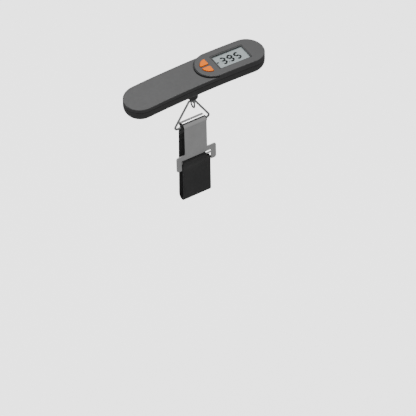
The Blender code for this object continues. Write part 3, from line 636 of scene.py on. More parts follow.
def carved(body: bmesh.types.BMesh, cuts: Iterable[tuple[str, bmesh.types.BMesh]]) -> bmesh.types.BMesh:
    """Apply Boolean operations one after another.

    Args:
        body: the solid to work on; it is used up.
        cuts: pairs of operation and cutter; the cutters are used up.

    Returns:
        The resulting solid.
    """
    work = to_object(body, "work")
    for operation, cutter in cuts:
        tool = to_object(cutter, "tool")
        modifier = work.modifiers.new("cut", "BOOLEAN")
        modifier.operation, modifier.solver, modifier.object = operation, "EXACT", tool
        result = evaluated(work)
        work.modifiers.clear()
        result.to_mesh(work.data)
        result.free()
        bpy.data.objects.remove(tool, do_unlink=True)
    bm = bmesh.new()
    bm.from_mesh(work.data)
    bpy.data.objects.remove(work, do_unlink=True)
    return bm


def edge_softened(bm: bmesh.types.BMesh, width: float, angle: float = 40.0, segments: int = 2,
                  chosen: Optional[Callable[[bmesh.types.BMEdge], bool]] = None) -> bmesh.types.BMesh:
    """Round the sharp edges of a solid.

    Args:
        bm: the solid, changed in place.
        width: how far the rounding reaches from each edge.
        angle: edges that turn more than this many degrees are rounded.
        segments: spans across the rounding.
        chosen: a further test on each edge.

    Returns:
        The same bmesh.
    """
    bmesh.ops.dissolve_limit(bm, angle_limit=math.radians(0.4), verts=bm.verts, edges=bm.edges)
    edges = [edge for edge in bm.edges if len(edge.link_faces) == 2
             and edge.calc_face_angle(0.0) > math.radians(angle) and (chosen is None or chosen(edge))]
    bmesh.ops.bevel(bm, geom=edges, affect="EDGES", offset=width, offset_type="OFFSET", segments=segments,
                    profile=0.5, material=-1, clamp_overlap=True)
    return bm


def weighted(obj: bpy.types.Object) -> bpy.types.Object:
    """Even out the shading of broad faces beside narrow roundings.

    Args:
        obj: the piece.

    Returns:
        The same object.
    """
    modifier = obj.modifiers.new("weighted", "WEIGHTED_NORMAL")
    modifier.keep_sharp = True
    return obj


def register(obj: bpy.types.Object, body: str, stands_for: Sequence[str] = ()) -> bpy.types.Object:
    """Tell the frame what a piece rides on and what it stands for.

    Args:
        obj: the piece.
        body: the CAD body it moves with.
        stands_for: CAD nodes that it replaces.

    Returns:
        The same object.
    """
    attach(obj, body)
    if stands_for:
        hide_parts(*stands_for)
    LOG.info("%s rides on %s", obj.name, body)
    return obj


# ---------------------------------------------------------------- housing

@dataclass
class Arch:
    """The gentle bow of the whole housing."""

    radius: float = 1000 * MM
    crown: float = 16 * MM
    step: float = 4 * MM

    def drop(self, x: float) -> float:
        """How far the bow falls at x below its height on the swivel axis."""
        return x * (x - 2 * self.crown) / (2 * self.radius)

    def bow(self, bm: bmesh.types.BMesh) -> bmesh.types.BMesh:
        """Cut a level solid across into short spans and let it follow the bow.

        Args:
            bm: the solid, changed in place.

        Returns:
            The same bmesh.
        """
        xs = [vert.co.x for vert in bm.verts]
        for index in range(math.ceil(min(xs) / self.step), math.floor(max(xs) / self.step) + 1):
            geometry = bm.verts[:] + bm.edges[:] + bm.faces[:]
            bmesh.ops.bisect_plane(bm, geom=geometry, dist=1e-7, plane_co=(index * self.step, 0, 0),
                                   plane_no=(1, 0, 0))
        for vert in bm.verts:
            vert.co.z -= self.drop(vert.co.x)
        return bm

    def seat(self, x: float, z: float) -> Matrix:
        """The move that carries a stiff level piece onto the bow, tilting about a point.

        Args:
            x: where the piece sits along the housing.
            z: height of the point it tilts about.

        Returns:
            The move.
        """
        pivot = Vector((x, 0.0, z))
        tilt = Matrix.Rotation(math.atan((x - self.crown) / self.radius), 4, "Y")
        return Matrix.Translation(pivot - Vector((0, 0, self.drop(x)))) @ tilt @ Matrix.Translation(-pivot)


@dataclass
class Housing:
    """The two shells, the battery door and a near-black painted shade strip round the head's foot."""

    arch: Arch
    radius: float = 18.5 * MM
    handle_end: float = -59.0 * MM
    head_end: float = 64.0 * MM
    head_start: float = 23.8 * MM
    wall: float = 1.6 * MM
    handle_top: float = 4.6 * MM
    head_top: float = 6.7 * MM
    top_round: float = 0.9 * MM
    seam_chamfer: float = 0.3 * MM
    seam_half: float = 0.15 * MM
    bottom: float = -13.3 * MM
    fillet: float = 10.0 * MM
    groove: float = 0.9 * MM
    groove_width: float = 1.5 * MM
    shade_strip_width: float = 0.75 * MM
    shade_strip_gap: float = 0.04 * MM
    around: int = 112
    window_x: float = 45.3 * MM
    window: Point2 = (37.7 * MM, 21.3 * MM)
    window_corner: float = 0.8 * MM
    door_x: float = -52.0 * MM
    door: Point2 = (27.0 * MM, 21.6 * MM)
    door_corner: float = 2.5 * MM
    door_gap: float = 0.3 * MM
    ridges: int = 4
    ridge_start: float = 6.0 * MM
    ridge_pitch: float = 1.8 * MM
    ridge_half: Point2 = (0.4 * MM, 5 * MM)
    ridge_depth: float = 0.4 * MM
    screws: tuple[Point2, ...] = ((-69.0 * MM, 0.0), (10.2 * MM, 9.9 * MM), (10.2 * MM, -9.9 * MM),
                                  (74.0 * MM, 0.0))
    screw_bore: float = 2.2 * MM
    screw_depth: float = -8.3 * MM
    post: float = 2.7 * MM
    collar_bore: float = 5.0 * MM
    softening: float = 0.22 * MM

    def stadium(self, bm: bmesh.types.BMesh, inset: float, z: float,
                start: float) -> list[bmesh.types.BMEdge]:
        """A loop round two half circles: one circle whose halves are drawn apart.

        Args:
            bm: where to make it.
            inset: how far inside the housing's outline it runs.
            z: its height.
            start: X of its left arc's centre.

        Returns:
            The loop's edges.
        """
        verts = bmesh.ops.create_circle(bm, cap_ends=False, segments=self.around, radius=self.radius - inset,
                                        matrix=Matrix.Translation((0, 0, z))
                                        @ Matrix.Rotation(math.pi / self.around, 4, "Z"))["verts"]
        for vert in verts:
            vert.co.x += self.head_end if vert.co.x > 0 else start
        return list({edge for vert in verts for edge in vert.link_edges})

    def lofted(self, path: Sequence[Point2], start: float) -> bmesh.types.BMesh:
        """A solid through stadium loops.

        Args:
            path: (inset, z) of each loop in order.
            start: X of the left arcs' centre.

        Returns:
            The closed solid.
        """
        bm = bmesh.new()
        loops = [self.stadium(bm, inset, z, start) for inset, z in path]
        for first, second in zip(loops, loops[1:]):
            bmesh.ops.bridge_loops(bm, edges=first + second)
        for loop in (loops[0], loops[-1]):
            bmesh.ops.contextual_create(bm, geom=loop)
        bmesh.ops.recalc_face_normals(bm, faces=bm.faces)
        return bm

    def top_path(self, first: Sequence[Point2], top: float) -> list[Point2]:
        """A wall's section up over its rounded top edge.

        Args:
            first: points below the rounding.
            top: height of the top face.

        Returns:
            The section's points.
        """
        turn = points_on_arc((self.top_round, top - self.top_round), self.top_round, math.pi, math.pi / 2, 6)
        return list(first) + turn

    def bottom_path(self, depth: float) -> list[Point2]:
        """The underside's section from its flat up to the wall, set in by a depth.

        Args:
            depth: how far inside the outer face it runs.

        Returns:
            The section's points.
        """
        radius = self.fillet - depth
        return points_on_arc((self.fillet, self.bottom + self.fillet), radius, 1.5 * math.pi, math.pi, 14)

    def lower_solid(self) -> bmesh.types.BMesh:
        """The lower shell before its openings are cut.

        Returns:
            The solid.
        """
        outer = self.bottom_path(0.0) + [(0.0, -self.seam_half - self.seam_chamfer),
                                         (self.seam_chamfer, -self.seam_half)]
        inner = [(self.wall, -self.seam_half)] + list(reversed(self.bottom_path(self.wall)))
        return self.lofted(outer + inner, self.handle_end)

    def door_outline(self, extra: float) -> list[Point2]:
        """The battery door's outline grown by a margin.

        Args:
            extra: how much to grow it all round.

        Returns:
            The outline's points.
        """
        size = (self.door[0] + 2 * extra, self.door[1] + 2 * extra)
        return round_corners(rectangle((self.door_x, 0.0), size), [self.door_corner + extra] * 4)

    def crescent(self, width: float, gap: float) -> list[Point2]:
        """An outline round the head's rounded start, widest on the long axis.

        Args:
            width: its width on the long axis.
            gap: its distance from the head's wall.

        Returns:
            The outline's points.
        """
        start, end = math.radians(97), math.radians(263)
        outer = points_on_arc((self.head_start - width, 0.0), self.radius + gap, start, end, 56)
        return outer + points_on_arc((self.head_start, 0.0), self.radius + gap, end, start, 56)

    def build_step_shade_strip(self) -> bpy.types.Object:
        """Near-black strip in the groove round the head's foot, standing for the painted shade at the step.

        Returns:
            The piece.
        """
        # painted shade: a near-black strip stands where the step's foot lies in shadow
        bm = extruded(self.crescent(self.shade_strip_width, self.shade_strip_gap),
                      self.handle_top - self.groove + 0.03 * MM, self.head_top - PROUD)
        edge_softened(bm, 0.08 * MM, 60.0, 1)
        return register(to_object(self.arch.bow(bm), "step_shade_strip", Finish.BLACK), "housing")

    def build_upper(self, buttons: "Buttons") -> bpy.types.Object:
        """Upper shell: handle, raised head, foot groove, window and button openings.

        Args:
            buttons: the buttons that need openings.

        Returns:
            The piece.
        """
        seam = [(self.seam_chamfer, self.seam_half), (0.0, self.seam_half + self.seam_chamfer)]
        body = self.lofted(self.top_path(seam, self.handle_top), self.handle_end)
        head = self.lofted(self.top_path([(0.0, 2 * MM)], self.head_top), self.head_start)
        hollows = [self.lofted([(self.wall, -PROUD), (self.wall, top - self.wall)], start)
                   for top, start in ((self.handle_top, self.handle_end), (self.head_top, self.head_start))]
        groove = extruded(self.crescent(self.groove_width, 0.0), self.handle_top - self.groove,
                          self.head_top - PROUD)
        low, high = self.handle_top - PROUD, self.head_top + PROUD
        window = round_corners(rectangle((self.window_x, 0.0), self.window), [self.window_corner] * 4)
        cuts = [("UNION", head), *(("DIFFERENCE", hollow) for hollow in hollows),
                ("DIFFERENCE", groove), ("DIFFERENCE", extruded(window, low, high))]
        cuts += [("DIFFERENCE", extruded(buttons.outline(side, buttons.clearance), low, high))
                 for side in (1, -1)]
        bm = carved(body, cuts)
        top = self.head_top - NEARLY
        edge_softened(bm, self.softening, 60.0, 2,
                      lambda edge: all(vert.co.z > top for vert in edge.verts))
        obj = to_object(self.arch.bow(bm), "upper_housing", Finish.HOUSING)
        return register(weighted(obj), "housing", ["upper_shell"])

    def build_lower(self) -> bpy.types.Object:
        """Lower shell with its screw bores, collar bore and door opening.

        Returns:
            The piece.
        """
        deep = self.bottom - PROUD
        floor = self.bottom + 0.9 * self.wall
        cuts = []
        for centre in self.screws:
            boss = [(0.0, floor), (self.post, floor), (self.post, self.screw_depth + self.wall),
                    (0.0, self.screw_depth + self.wall)]
            bore = [(0.0, deep), (self.screw_bore, deep), (self.screw_bore, self.screw_depth),
                    (0.0, self.screw_depth)]
            cuts += [("UNION", turned(boss, centre, 32)), ("DIFFERENCE", turned(bore, centre, 32))]
        collar_bore = [(0.0, deep), (self.collar_bore, deep), (self.collar_bore, floor + self.wall),
                       (0.0, floor + self.wall)]
        cuts.append(("DIFFERENCE", turned(collar_bore, steps=40)))
        opening = extruded(self.door_outline(self.door_gap), deep, self.bottom + 3 * self.wall)
        cuts.append(("DIFFERENCE", opening))
        bm = carved(self.lower_solid(), cuts)
        obj = to_object(self.arch.bow(bm), "lower_housing", Finish.UNDERSIDE)
        return register(weighted(obj), "housing", ["lower_shell"])

    def build_door(self) -> bpy.types.Object:
        """Battery door with grip ridges and softened edges.

        Returns:
            The piece.
        """
        deep = self.bottom - PROUD
        cuts = [("INTERSECT", extruded(self.door_outline(0.0), deep, self.bottom + 3 * self.wall))]
        across, along = self.ridge_half
        for index in range(self.ridges):
            x = self.door_x + self.ridge_start + self.ridge_pitch * index
            cuts.append(("DIFFERENCE", block((x - across, -along, deep),
                                             (x + across, along, self.bottom + self.ridge_depth))))
        bm = edge_softened(carved(self.lower_solid(), cuts), 0.2 * MM, 50.0)
        obj = to_object(self.arch.bow(bm), "battery_cover", Finish.UNDERSIDE)
        return register(weighted(obj), "battery_door", ["battery_door"])


@dataclass
class Buttons:
    """The two quarter-disc buttons."""

    seat: Matrix
    centre: float = 20.6 * MM
    straight: float = 20.0 * MM
    radius: float = 10.0 * MM
    half_gap: float = 1.4 * MM
    corner: float = 1.0 * MM
    top: float = 7.2 * MM
    flange: float = 0.7 * MM
    flange_z: Point2 = (3.2 * MM, 4.1 * MM)
    clearance: float = 0.3 * MM
    softening: float = 0.5 * MM

    def outline(self, side: int, extra: float) -> list[Point2]:
        """One button's outline.

        Args:
            side: +1 for the far button, -1 for the near one.
            extra: how much to grow it all round.

        Returns:
            The outline's points.
        """
        radius = self.radius + extra
        straight = self.straight + extra
        near = self.half_gap - extra
        top = math.acos((straight - self.centre) / radius)
        end = math.pi - math.asin(near / radius)
        curve = points_on_arc((self.centre, 0.0), radius, top, end, 28)
        trimmed = [(straight, near), curve[0]] + curve[4:-4] + [curve[-1]]
        corner = self.corner + extra
        outline = round_corners(trimmed, [corner, corner] + [0] * (len(trimmed) - 3) + [corner])
        return outline if side > 0 else [(x, -y) for x, y in reversed(outline)]

    def build(self) -> None:
        """Make both caps."""
        for side, name in ((1, "power_button"), (-1, "unit_button")):
            cap = extruded(self.outline(side, 0.0), self.flange_z[0], self.top)
            top = self.top - NEARLY
            edge_softened(cap, self.softening, 60.0, 4,
                          lambda edge: all(vert.co.z > top for vert in edge.verts))
            skirt = extruded(self.outline(side, self.flange), *self.flange_z)
            bm = carved(cap, [("UNION", skirt)])
            bmesh.ops.transform(bm, matrix=self.seat, verts=bm.verts)
            obj = to_object(bm, name + "_cap", Finish.ORANGE)
            register(weighted(obj), name, [name])


class Segment(Enum):
    """The bars of a seven-segment figure: middle (x, y) in bar lengths, and whether it stands upright."""

    TOP = (0.5, 2.0, False)
    MIDDLE = (0.5, 1.0, False)
    BOTTOM = (0.5, 0.0, False)
    UPPER_LEFT = (0.0, 1.5, True)
    UPPER_RIGHT = (1.0, 1.5, True)
    LOWER_LEFT = (0.0, 0.5, True)
    LOWER_RIGHT = (1.0, 0.5, True)


@dataclass
class Display:
    """Bezel, window pane and the figures on the display.

    The lit bars of each figure, the figures' middles and the small marks are given in reading order.
    """

    seat: Matrix
    centre: float = 45.3 * MM
    opening: Point2 = (37.1 * MM, 20.7 * MM)
    opening_corner: float = 0.8 * MM
    pane_corner: float = 0.6 * MM
    view_middle: Point2 = (45.45 * MM, -0.45 * MM)
    view: Point2 = (35.1 * MM, 19.4 * MM)
    view_corner: float = 0.25 * MM
    bezel_z: Point2 = (5.7 * MM, 6.5 * MM)
    pane_z: Point2 = (4.9 * MM, 5.4 * MM)
    glass_top: float = 4.6 * MM
    figure_height: float = 11.0 * MM
    figure_xs: tuple[float, ...] = (36.9 * MM, 45.0 * MM, 53.1 * MM)
    lit: tuple[str, ...] = ("TOP MIDDLE BOTTOM UPPER_RIGHT LOWER_RIGHT",
                            "TOP MIDDLE BOTTOM UPPER_LEFT UPPER_RIGHT LOWER_RIGHT",
                            "TOP MIDDLE BOTTOM UPPER_LEFT LOWER_RIGHT")
    stroke: float = 2.2 * MM
    point: Point2 = (41.2 * MM, -4.6 * MM)
    point_size: Point2 = (1.1 * MM, 1.1 * MM)
    sign: Point2 = (30.3 * MM, 0.0)
    sign_size: Point2 = (2.2 * MM, 1.6 * MM)
    segment_lift: Point2 = (0.03 * MM, 0.08 * MM)

    def plate(self, size: Point2, corner: float) -> list[Point2]:
        """A rounded rectangle centred on the display."""
        return round_corners(rectangle((self.centre, 0.0), size), [corner] * 4, 5)

    def build_bezel(self) -> None:
        """The frame that lines the window's edge: near and left top faces housing grey, its inner walls and
        far and right faces near-black as painted shade in the recess.
        """
        outer = self.plate(self.opening, self.opening_corner)
        inner = round_corners(rectangle(self.view_middle, self.view), [self.view_corner] * 4, 5)
        low, high = self.bezel_z
        bm = carved(extruded(outer, low, high), [("DIFFERENCE", extruded(inner, low - PROUD, high + PROUD))])
        edge_softened(bm, 0.06 * MM, 60.0, 1)
        right, far = (middle + size / 2 - 0.1 * MM for middle, size in zip(self.view_middle, self.view))
        # painted shade: every face except the near and left top faces gets the near-black slot, standing for
        # the recess walls in shadow
        for face in bm.faces:
            place = face.calc_center_median()
            near = place.x < right and place.y < far
            face.material_index = 1 if near and face.normal.z > 0.3 else 0
        bmesh.ops.transform(bm, matrix=self.seat, verts=bm.verts)
        bezel = to_object(bm, "bezel", Finish.BLACK)
        bezel.data.materials.append(Finish.HOUSING.material())
        register(weighted(bezel), "housing", ["window_bezel"])

    def build_pane(self) -> None:
        """The clear pane in front of the display."""
        bm = extruded(self.plate(self.opening, self.pane_corner), *self.pane_z)
        edge_softened(bm, 0.08 * MM, 60.0, 2)
        bmesh.ops.transform(bm, matrix=self.seat, verts=bm.verts)
        register(to_object(bm, "window_pane", Finish.PANE), "housing", ["display_lens"])

    def bar(self, bm: bmesh.types.BMesh, segment: Segment, corner: Point2, length: float) -> None:
        """Add one bar with pointed ends.

        Args:
            bm: where to add it.
            segment: which bar.
            corner: lower left corner of the figure.
            length: distance between the bars' joints.
        """
        x, y, upright = segment.value
        reach, half = length / 2 - 0.05 * self.stroke, self.stroke / 2
        hexagon = [(-reach, 0.0), (-reach + half, -half), (reach - half, -half), (reach, 0.0),
                   (reach - half, half), (-reach + half, half)]
        middle = Vector((corner[0] + x * length, corner[1] + y * length))
        outline = [(middle.x + (-q if upright else p), middle.y + (p if upright else q)) for p, q in hexagon]
        self.solid(bm, outline)

    def solid(self, bm: bmesh.types.BMesh, outline: Sequence[Point2]) -> None:
        """Add a thin plate of an outline just above the glass.

        Args:
            bm: where to add it.
            outline: its points in order.
        """
        low, high = (self.glass_top + lift for lift in self.segment_lift)
        face = bm.faces.new([bm.verts.new((x, y, low)) for x, y in outline])
        made = bmesh.ops.extrude_face_region(bm, geom=[face], use_keep_orig=True)
        bmesh.ops.translate(bm, vec=(0, 0, high - low),
                            verts=[item for item in made["geom"] if isinstance(item, bmesh.types.BMVert)])

    def build_figures(self) -> None:
        """The reading: three figures, the point and the small sign, and the figures' unlit bars."""
        length = (self.figure_height - self.stroke) / 2
        ink, ghost = bmesh.new(), bmesh.new()
        for x, lit in zip(self.figure_xs, self.lit):
            for segment in Segment:
                target = ink if segment.name in lit.split() else ghost
                self.bar(target, segment, (x - length / 2, -length), length)
        self.solid(ink, rectangle(self.point, self.point_size))
        self.solid(ink, rectangle(self.sign, self.sign_size))
        for bm, name, finish in ((ink, "display_figures", Finish.INK),
                                 (ghost, "display_unlit", Finish.GHOST)):
            bmesh.ops.recalc_face_normals(bm, faces=bm.faces)
            bmesh.ops.transform(bm, matrix=self.seat, verts=bm.verts)
            register(to_object(bm, name, finish), "housing")

    def build(self) -> None:
        """Make the display's visible pieces."""
        self.build_bezel()
        self.build_pane()
        self.build_figures()


# ---------------------------------------------------------------- hook, ring, plate and strap

class WireBender:
    """Bends a round wire in one plane: straight runs and turns, one after another."""

    def __init__(self, start: Vector, heading: Vector, normal: Vector, radius: float,
                 sides: int = 20) -> None:
        """Set up the wire's first section.

        Args:
            start: middle of the first section.
            heading: direction in which the wire leaves it.
            normal: the plane's normal; turns go anticlockwise about it.
            radius: the wire's radius.
            sides: facets round the wire.
        """
        self.bm = bmesh.new()
        self.place, self.heading, self.normal = start.copy(), heading.normalized(), normal.normalized()
        turn = self.heading.to_track_quat("Z", "Y").to_matrix().to_4x4()
        verts = bmesh.ops.create_circle(self.bm, cap_ends=False, segments=sides, radius=radius,
                                        matrix=Matrix.Translation(start) @ turn)["verts"]
        self.edges = list({edge for vert in verts for edge in vert.link_edges})

    def straight(self, length: float) -> "WireBender":
        """Run straight on.

        Args:
            length: how far.

        Returns:
            The bender, for the next run.
        """
        made = bmesh.ops.extrude_edge_only(self.bm, edges=self.edges)["geom"]
        verts = [item for item in made if isinstance(item, bmesh.types.BMVert)]
        bmesh.ops.translate(self.bm, vec=self.heading * length, verts=verts)
        fresh = set(verts)
        self.edges = [item for item in made if isinstance(item, bmesh.types.BMEdge)
                      and set(item.verts) <= fresh]
        self.place += self.heading * length
        return self

    def turn(self, angle: float, radius: float, steps: int = 10) -> "WireBender":
        """Turn anticlockwise about the plane's normal.

        Args:
            angle: how far round, in radians.
            radius: radius of the wire's middle line.
            steps: spans round the turn.

        Returns:
            The bender, for the next run.
        """
        centre = self.place + self.normal.cross(self.heading) * radius
        verts = list({vert for edge in self.edges for vert in edge.verts})
        made = bmesh.ops.spin(self.bm, geom=verts + self.edges, cent=centre, axis=self.normal, angle=angle,
                              steps=steps, use_merge=False)["geom_last"]
        self.edges = [item for item in made if isinstance(item, bmesh.types.BMEdge)]
        rotation = Matrix.Rotation(angle, 3, self.normal)
        self.place = centre + rotation @ (self.place - centre)
        self.heading = rotation @ self.heading
        return self

    def closed(self) -> bmesh.types.BMesh:
        """Weld the last section to the first and give up the mesh.

        Returns:
            The closed tube.
        """
        bmesh.ops.remove_doubles(self.bm, verts=self.bm.verts, dist=0.01 * MM)
        bmesh.ops.recalc_face_normals(self.bm, faces=self.bm.faces)
        return self.bm


@dataclass
class Hanger:
    """Collar, swivel eye and wire ring."""

    bore: float = 1.9 * MM
    spigot: float = 4.7 * MM
    spigot_top: float = -9.4 * MM
    housing_bottom: float = -13.6 * MM
    collar_bottom: float = -27.4 * MM
    rod_radius: float = 1.5 * MM
    rod_top: float = 2.2 * MM
    eye_wire: float = 0.9 * MM
    eye_half: float = 3.2 * MM
    eye_top: float = -28.6 * MM
    eye_bottom: float = -40.3 * MM
    pin: float = 0.8 * MM
    pin_z: float = -33.1 * MM
    ring_wire: float = 1.15 * MM
    ring_middle: float = -1.5 * MM
    ring_top: float = -30.9 * MM
    ring_top_half: float = 2.9 * MM
    ring_bar: float = -62.0 * MM
    ring_bar_half: float = 21.8 * MM
    top_corner: float = 2.0 * MM
    bar_corner: float = 2.6 * MM

    def build_collar(self) -> None:
        """Flared collar with a softened foot and mouth."""
        flare = [(11.4 * MM, self.housing_bottom), (11.3 * MM, -13.85 * MM), (11.0 * MM, -14.1 * MM),
                 (10.2 * MM, -14.8 * MM), (9.2 * MM, -15.8 * MM), (8.2 * MM, -16.8 * MM),
                 (7.3 * MM, -17.9 * MM), (6.6 * MM, -19.1 * MM), (6.1 * MM, -20.4 * MM),
                 (5.8 * MM, -21.8 * MM), (5.7 * MM, -23.5 * MM), (5.6 * MM, -26.0 * MM),
                 (5.5 * MM, -26.5 * MM), (5.25 * MM, -27.0 * MM),
                 (4.8 * MM, self.collar_bottom + 0.1 * MM), (4.4 * MM, self.collar_bottom)]
        profile = [(self.bore, self.spigot_top), (self.spigot, self.spigot_top),
                   (self.spigot, self.housing_bottom), *flare, (self.bore + 0.3 * MM, self.collar_bottom),
                   (self.bore, self.collar_bottom + 0.3 * MM)]
        obj = to_object(turned(profile, steps=72), "collar", Finish.COLLAR)
        register(weighted(obj), "housing", ["hook_collar"])

    def build_eye(self) -> None:
        """Closed eye bent from wire, joined to its rod."""
        side = (self.eye_top - self.eye_bottom) - 2 * self.eye_half
        start = Vector((0.0, self.eye_half, self.eye_bottom + self.eye_half))
        bender = WireBender(start, Vector((0, 0, 1)), Vector((1, 0, 0)), self.eye_wire)
        for _ in range(2):
            bender.straight(side).turn(math.pi, self.eye_half, 20)
        loop = bender.closed()
        rod = turned([(0.0, self.eye_top - 0.2 * MM), (self.rod_radius - 0.3 * MM, self.eye_top - 0.2 * MM),
                      (self.rod_radius, self.eye_top + 0.4 * MM), (self.rod_radius, self.rod_top),
                      (0.0, self.rod_top)], steps=32)
        pin = turned([(0.0, -self.eye_half), (self.pin, -self.eye_half), (self.pin, self.eye_half),
                      (0.0, self.eye_half)], steps=20)
        lie = Matrix.Translation((0, 0, self.pin_z)) @ Matrix.Rotation(math.pi / 2, 4, "X")
        bmesh.ops.transform(pin, matrix=lie, verts=pin.verts)
        obj = to_object(carved(loop, [("UNION", rod), ("UNION", pin)]), "eye", Finish.WIRE, 50.0)
        register(obj, "swivel_hook", ["swivel_eye"])

    def build_ring(self) -> None:
        """Triangular ring: top on the eye's pin, sloping legs and the long bar."""
        rise = Vector((self.ring_bar_half - self.ring_top_half, 0.0, self.ring_top - self.ring_bar))
        lean = math.atan2(rise.x, rise.z)
        wide = math.pi / 2 + lean          # turn at each lower corner
        narrow = math.pi / 2 - lean        # turn at each upper corner
        lower_cut = self.bar_corner * math.tan(wide / 2)
        upper_cut = self.top_corner * math.tan(narrow / 2)
        start = Vector((self.ring_middle - self.ring_bar_half + lower_cut, 0.0, self.ring_bar))
        bender = WireBender(start, Vector((1, 0, 0)), Vector((0, -1, 0)), self.ring_wire)
        leg = rise.length - lower_cut - upper_cut
        bender.straight(2 * (self.ring_bar_half - lower_cut)).turn(wide, self.bar_corner, 14).straight(leg)
        bender.turn(narrow, self.top_corner, 10).straight(2 * (self.ring_top_half - upper_cut))
        bender.turn(narrow, self.top_corner, 10).straight(leg)
        bm = bender.turn(wide, self.bar_corner, 14).closed()
        register(to_object(bm, "ring", Finish.WIRE, 60.0), "ring", ["triangle_ring"])

    def build(self) -> None:
        """Make the collar, the eye and the ring."""
        self.build_collar()
        self.build_eye()
        self.build_ring()


@dataclass
class HookPlate:
    """Stamped plate: flat fork below, tongue bent over the ring's bar above."""

    front: float = -4.85 * MM
    thickness: float = 1.2 * MM
    bend: float = 6.1 * MM
    bend_z: float = -63.4 * MM
    lip: float = 1.8 * MM
    tab: float = 26.0 * MM
    crossbar_top: float = -97.6 * MM
    crossbar_bottom: float = -104.3 * MM
    width: float = 47.0 * MM
    leg_gap: float = 35.0 * MM
    leg_bottom: float = -117.6 * MM
    strap_bar: Point2 = (-108.6 * MM, -106.6 * MM)
    corner: float = 2.6 * MM
    tongue_corner: float = 1.5 * MM
    inner_corner: float = 0.8 * MM
    slot_corner: float = 0.5 * MM
    softening: float = 0.22 * MM
    steps: int = 28

    def wrap(self, bm: bmesh.types.BMesh) -> bmesh.types.BMesh:
        """Bend the tongue over the ring's bar.

        Args:
            bm: the upright blank, changed in place.

        Returns:
            The same bmesh.
        """
        neutral = self.bend - self.thickness / 2
        turn = math.pi * neutral
        axis = self.front + self.bend
        for index in range(self.steps + 1):
            height = self.bend_z + turn * index / self.steps
            bmesh.ops.bisect_plane(bm, geom=bm.verts[:] + bm.edges[:] + bm.faces[:], dist=1e-7,
                                   plane_co=(0, 0, height), plane_no=(0, 0, 1))
        for vert in bm.verts:
            run, radius = vert.co.z - self.bend_z, axis - vert.co.y
            if run > turn:
                vert.co.y, vert.co.z = axis + radius, self.bend_z - (run - turn)
            elif run > 0:
                angle = run / neutral
                vert.co.y = axis - radius * math.cos(angle)
                vert.co.z = self.bend_z + radius * math.sin(angle)
        return bm

    def build(self) -> None:
        """Cut the blank, soften its edges and bend it."""
        tongue = self.bend_z + math.pi * (self.bend - self.thickness / 2) + self.lip
        tab, half, leg = self.tab / 2, self.width / 2, self.leg_gap / 2
        side = [(tab, tongue, self.tongue_corner), (tab, self.crossbar_top, self.inner_corner),
                (half, self.crossbar_top, self.corner), (half, self.leg_bottom, self.corner),
                (leg, self.leg_bottom, self.inner_corner), (leg, self.strap_bar[0], 0.0)]
        corners = [(x, z) for x, z, _ in side] + [(-x, z) for x, z, _ in reversed(side)]
        radii = [radius for _, _, radius in side]
        outline = round_corners(corners, radii + radii[::-1], 8)
        slot = round_corners([(leg, self.strap_bar[1]), (leg, self.crossbar_bottom),
                              (-leg, self.crossbar_bottom), (-leg, self.strap_bar[1])],
                             [self.slot_corner] * 4, 5)
        bm = carved(extruded(outline, 0.0, self.thickness),
                    [("DIFFERENCE", extruded(slot, -PROUD, self.thickness + PROUD))])
        edge_softened(bm, self.softening, 50.0, 3)
        upright = (Matrix.Translation((0.0, self.front + self.thickness, 0.0))
                   @ Matrix.Rotation(math.pi / 2, 4, "X"))
        bmesh.ops.transform(bm, matrix=upright, verts=bm.verts)
        obj = to_object(self.wrap(bm), "stamped_hook", Finish.PLATE)
        register(weighted(obj), "hook_plate", ["hook_plate"])


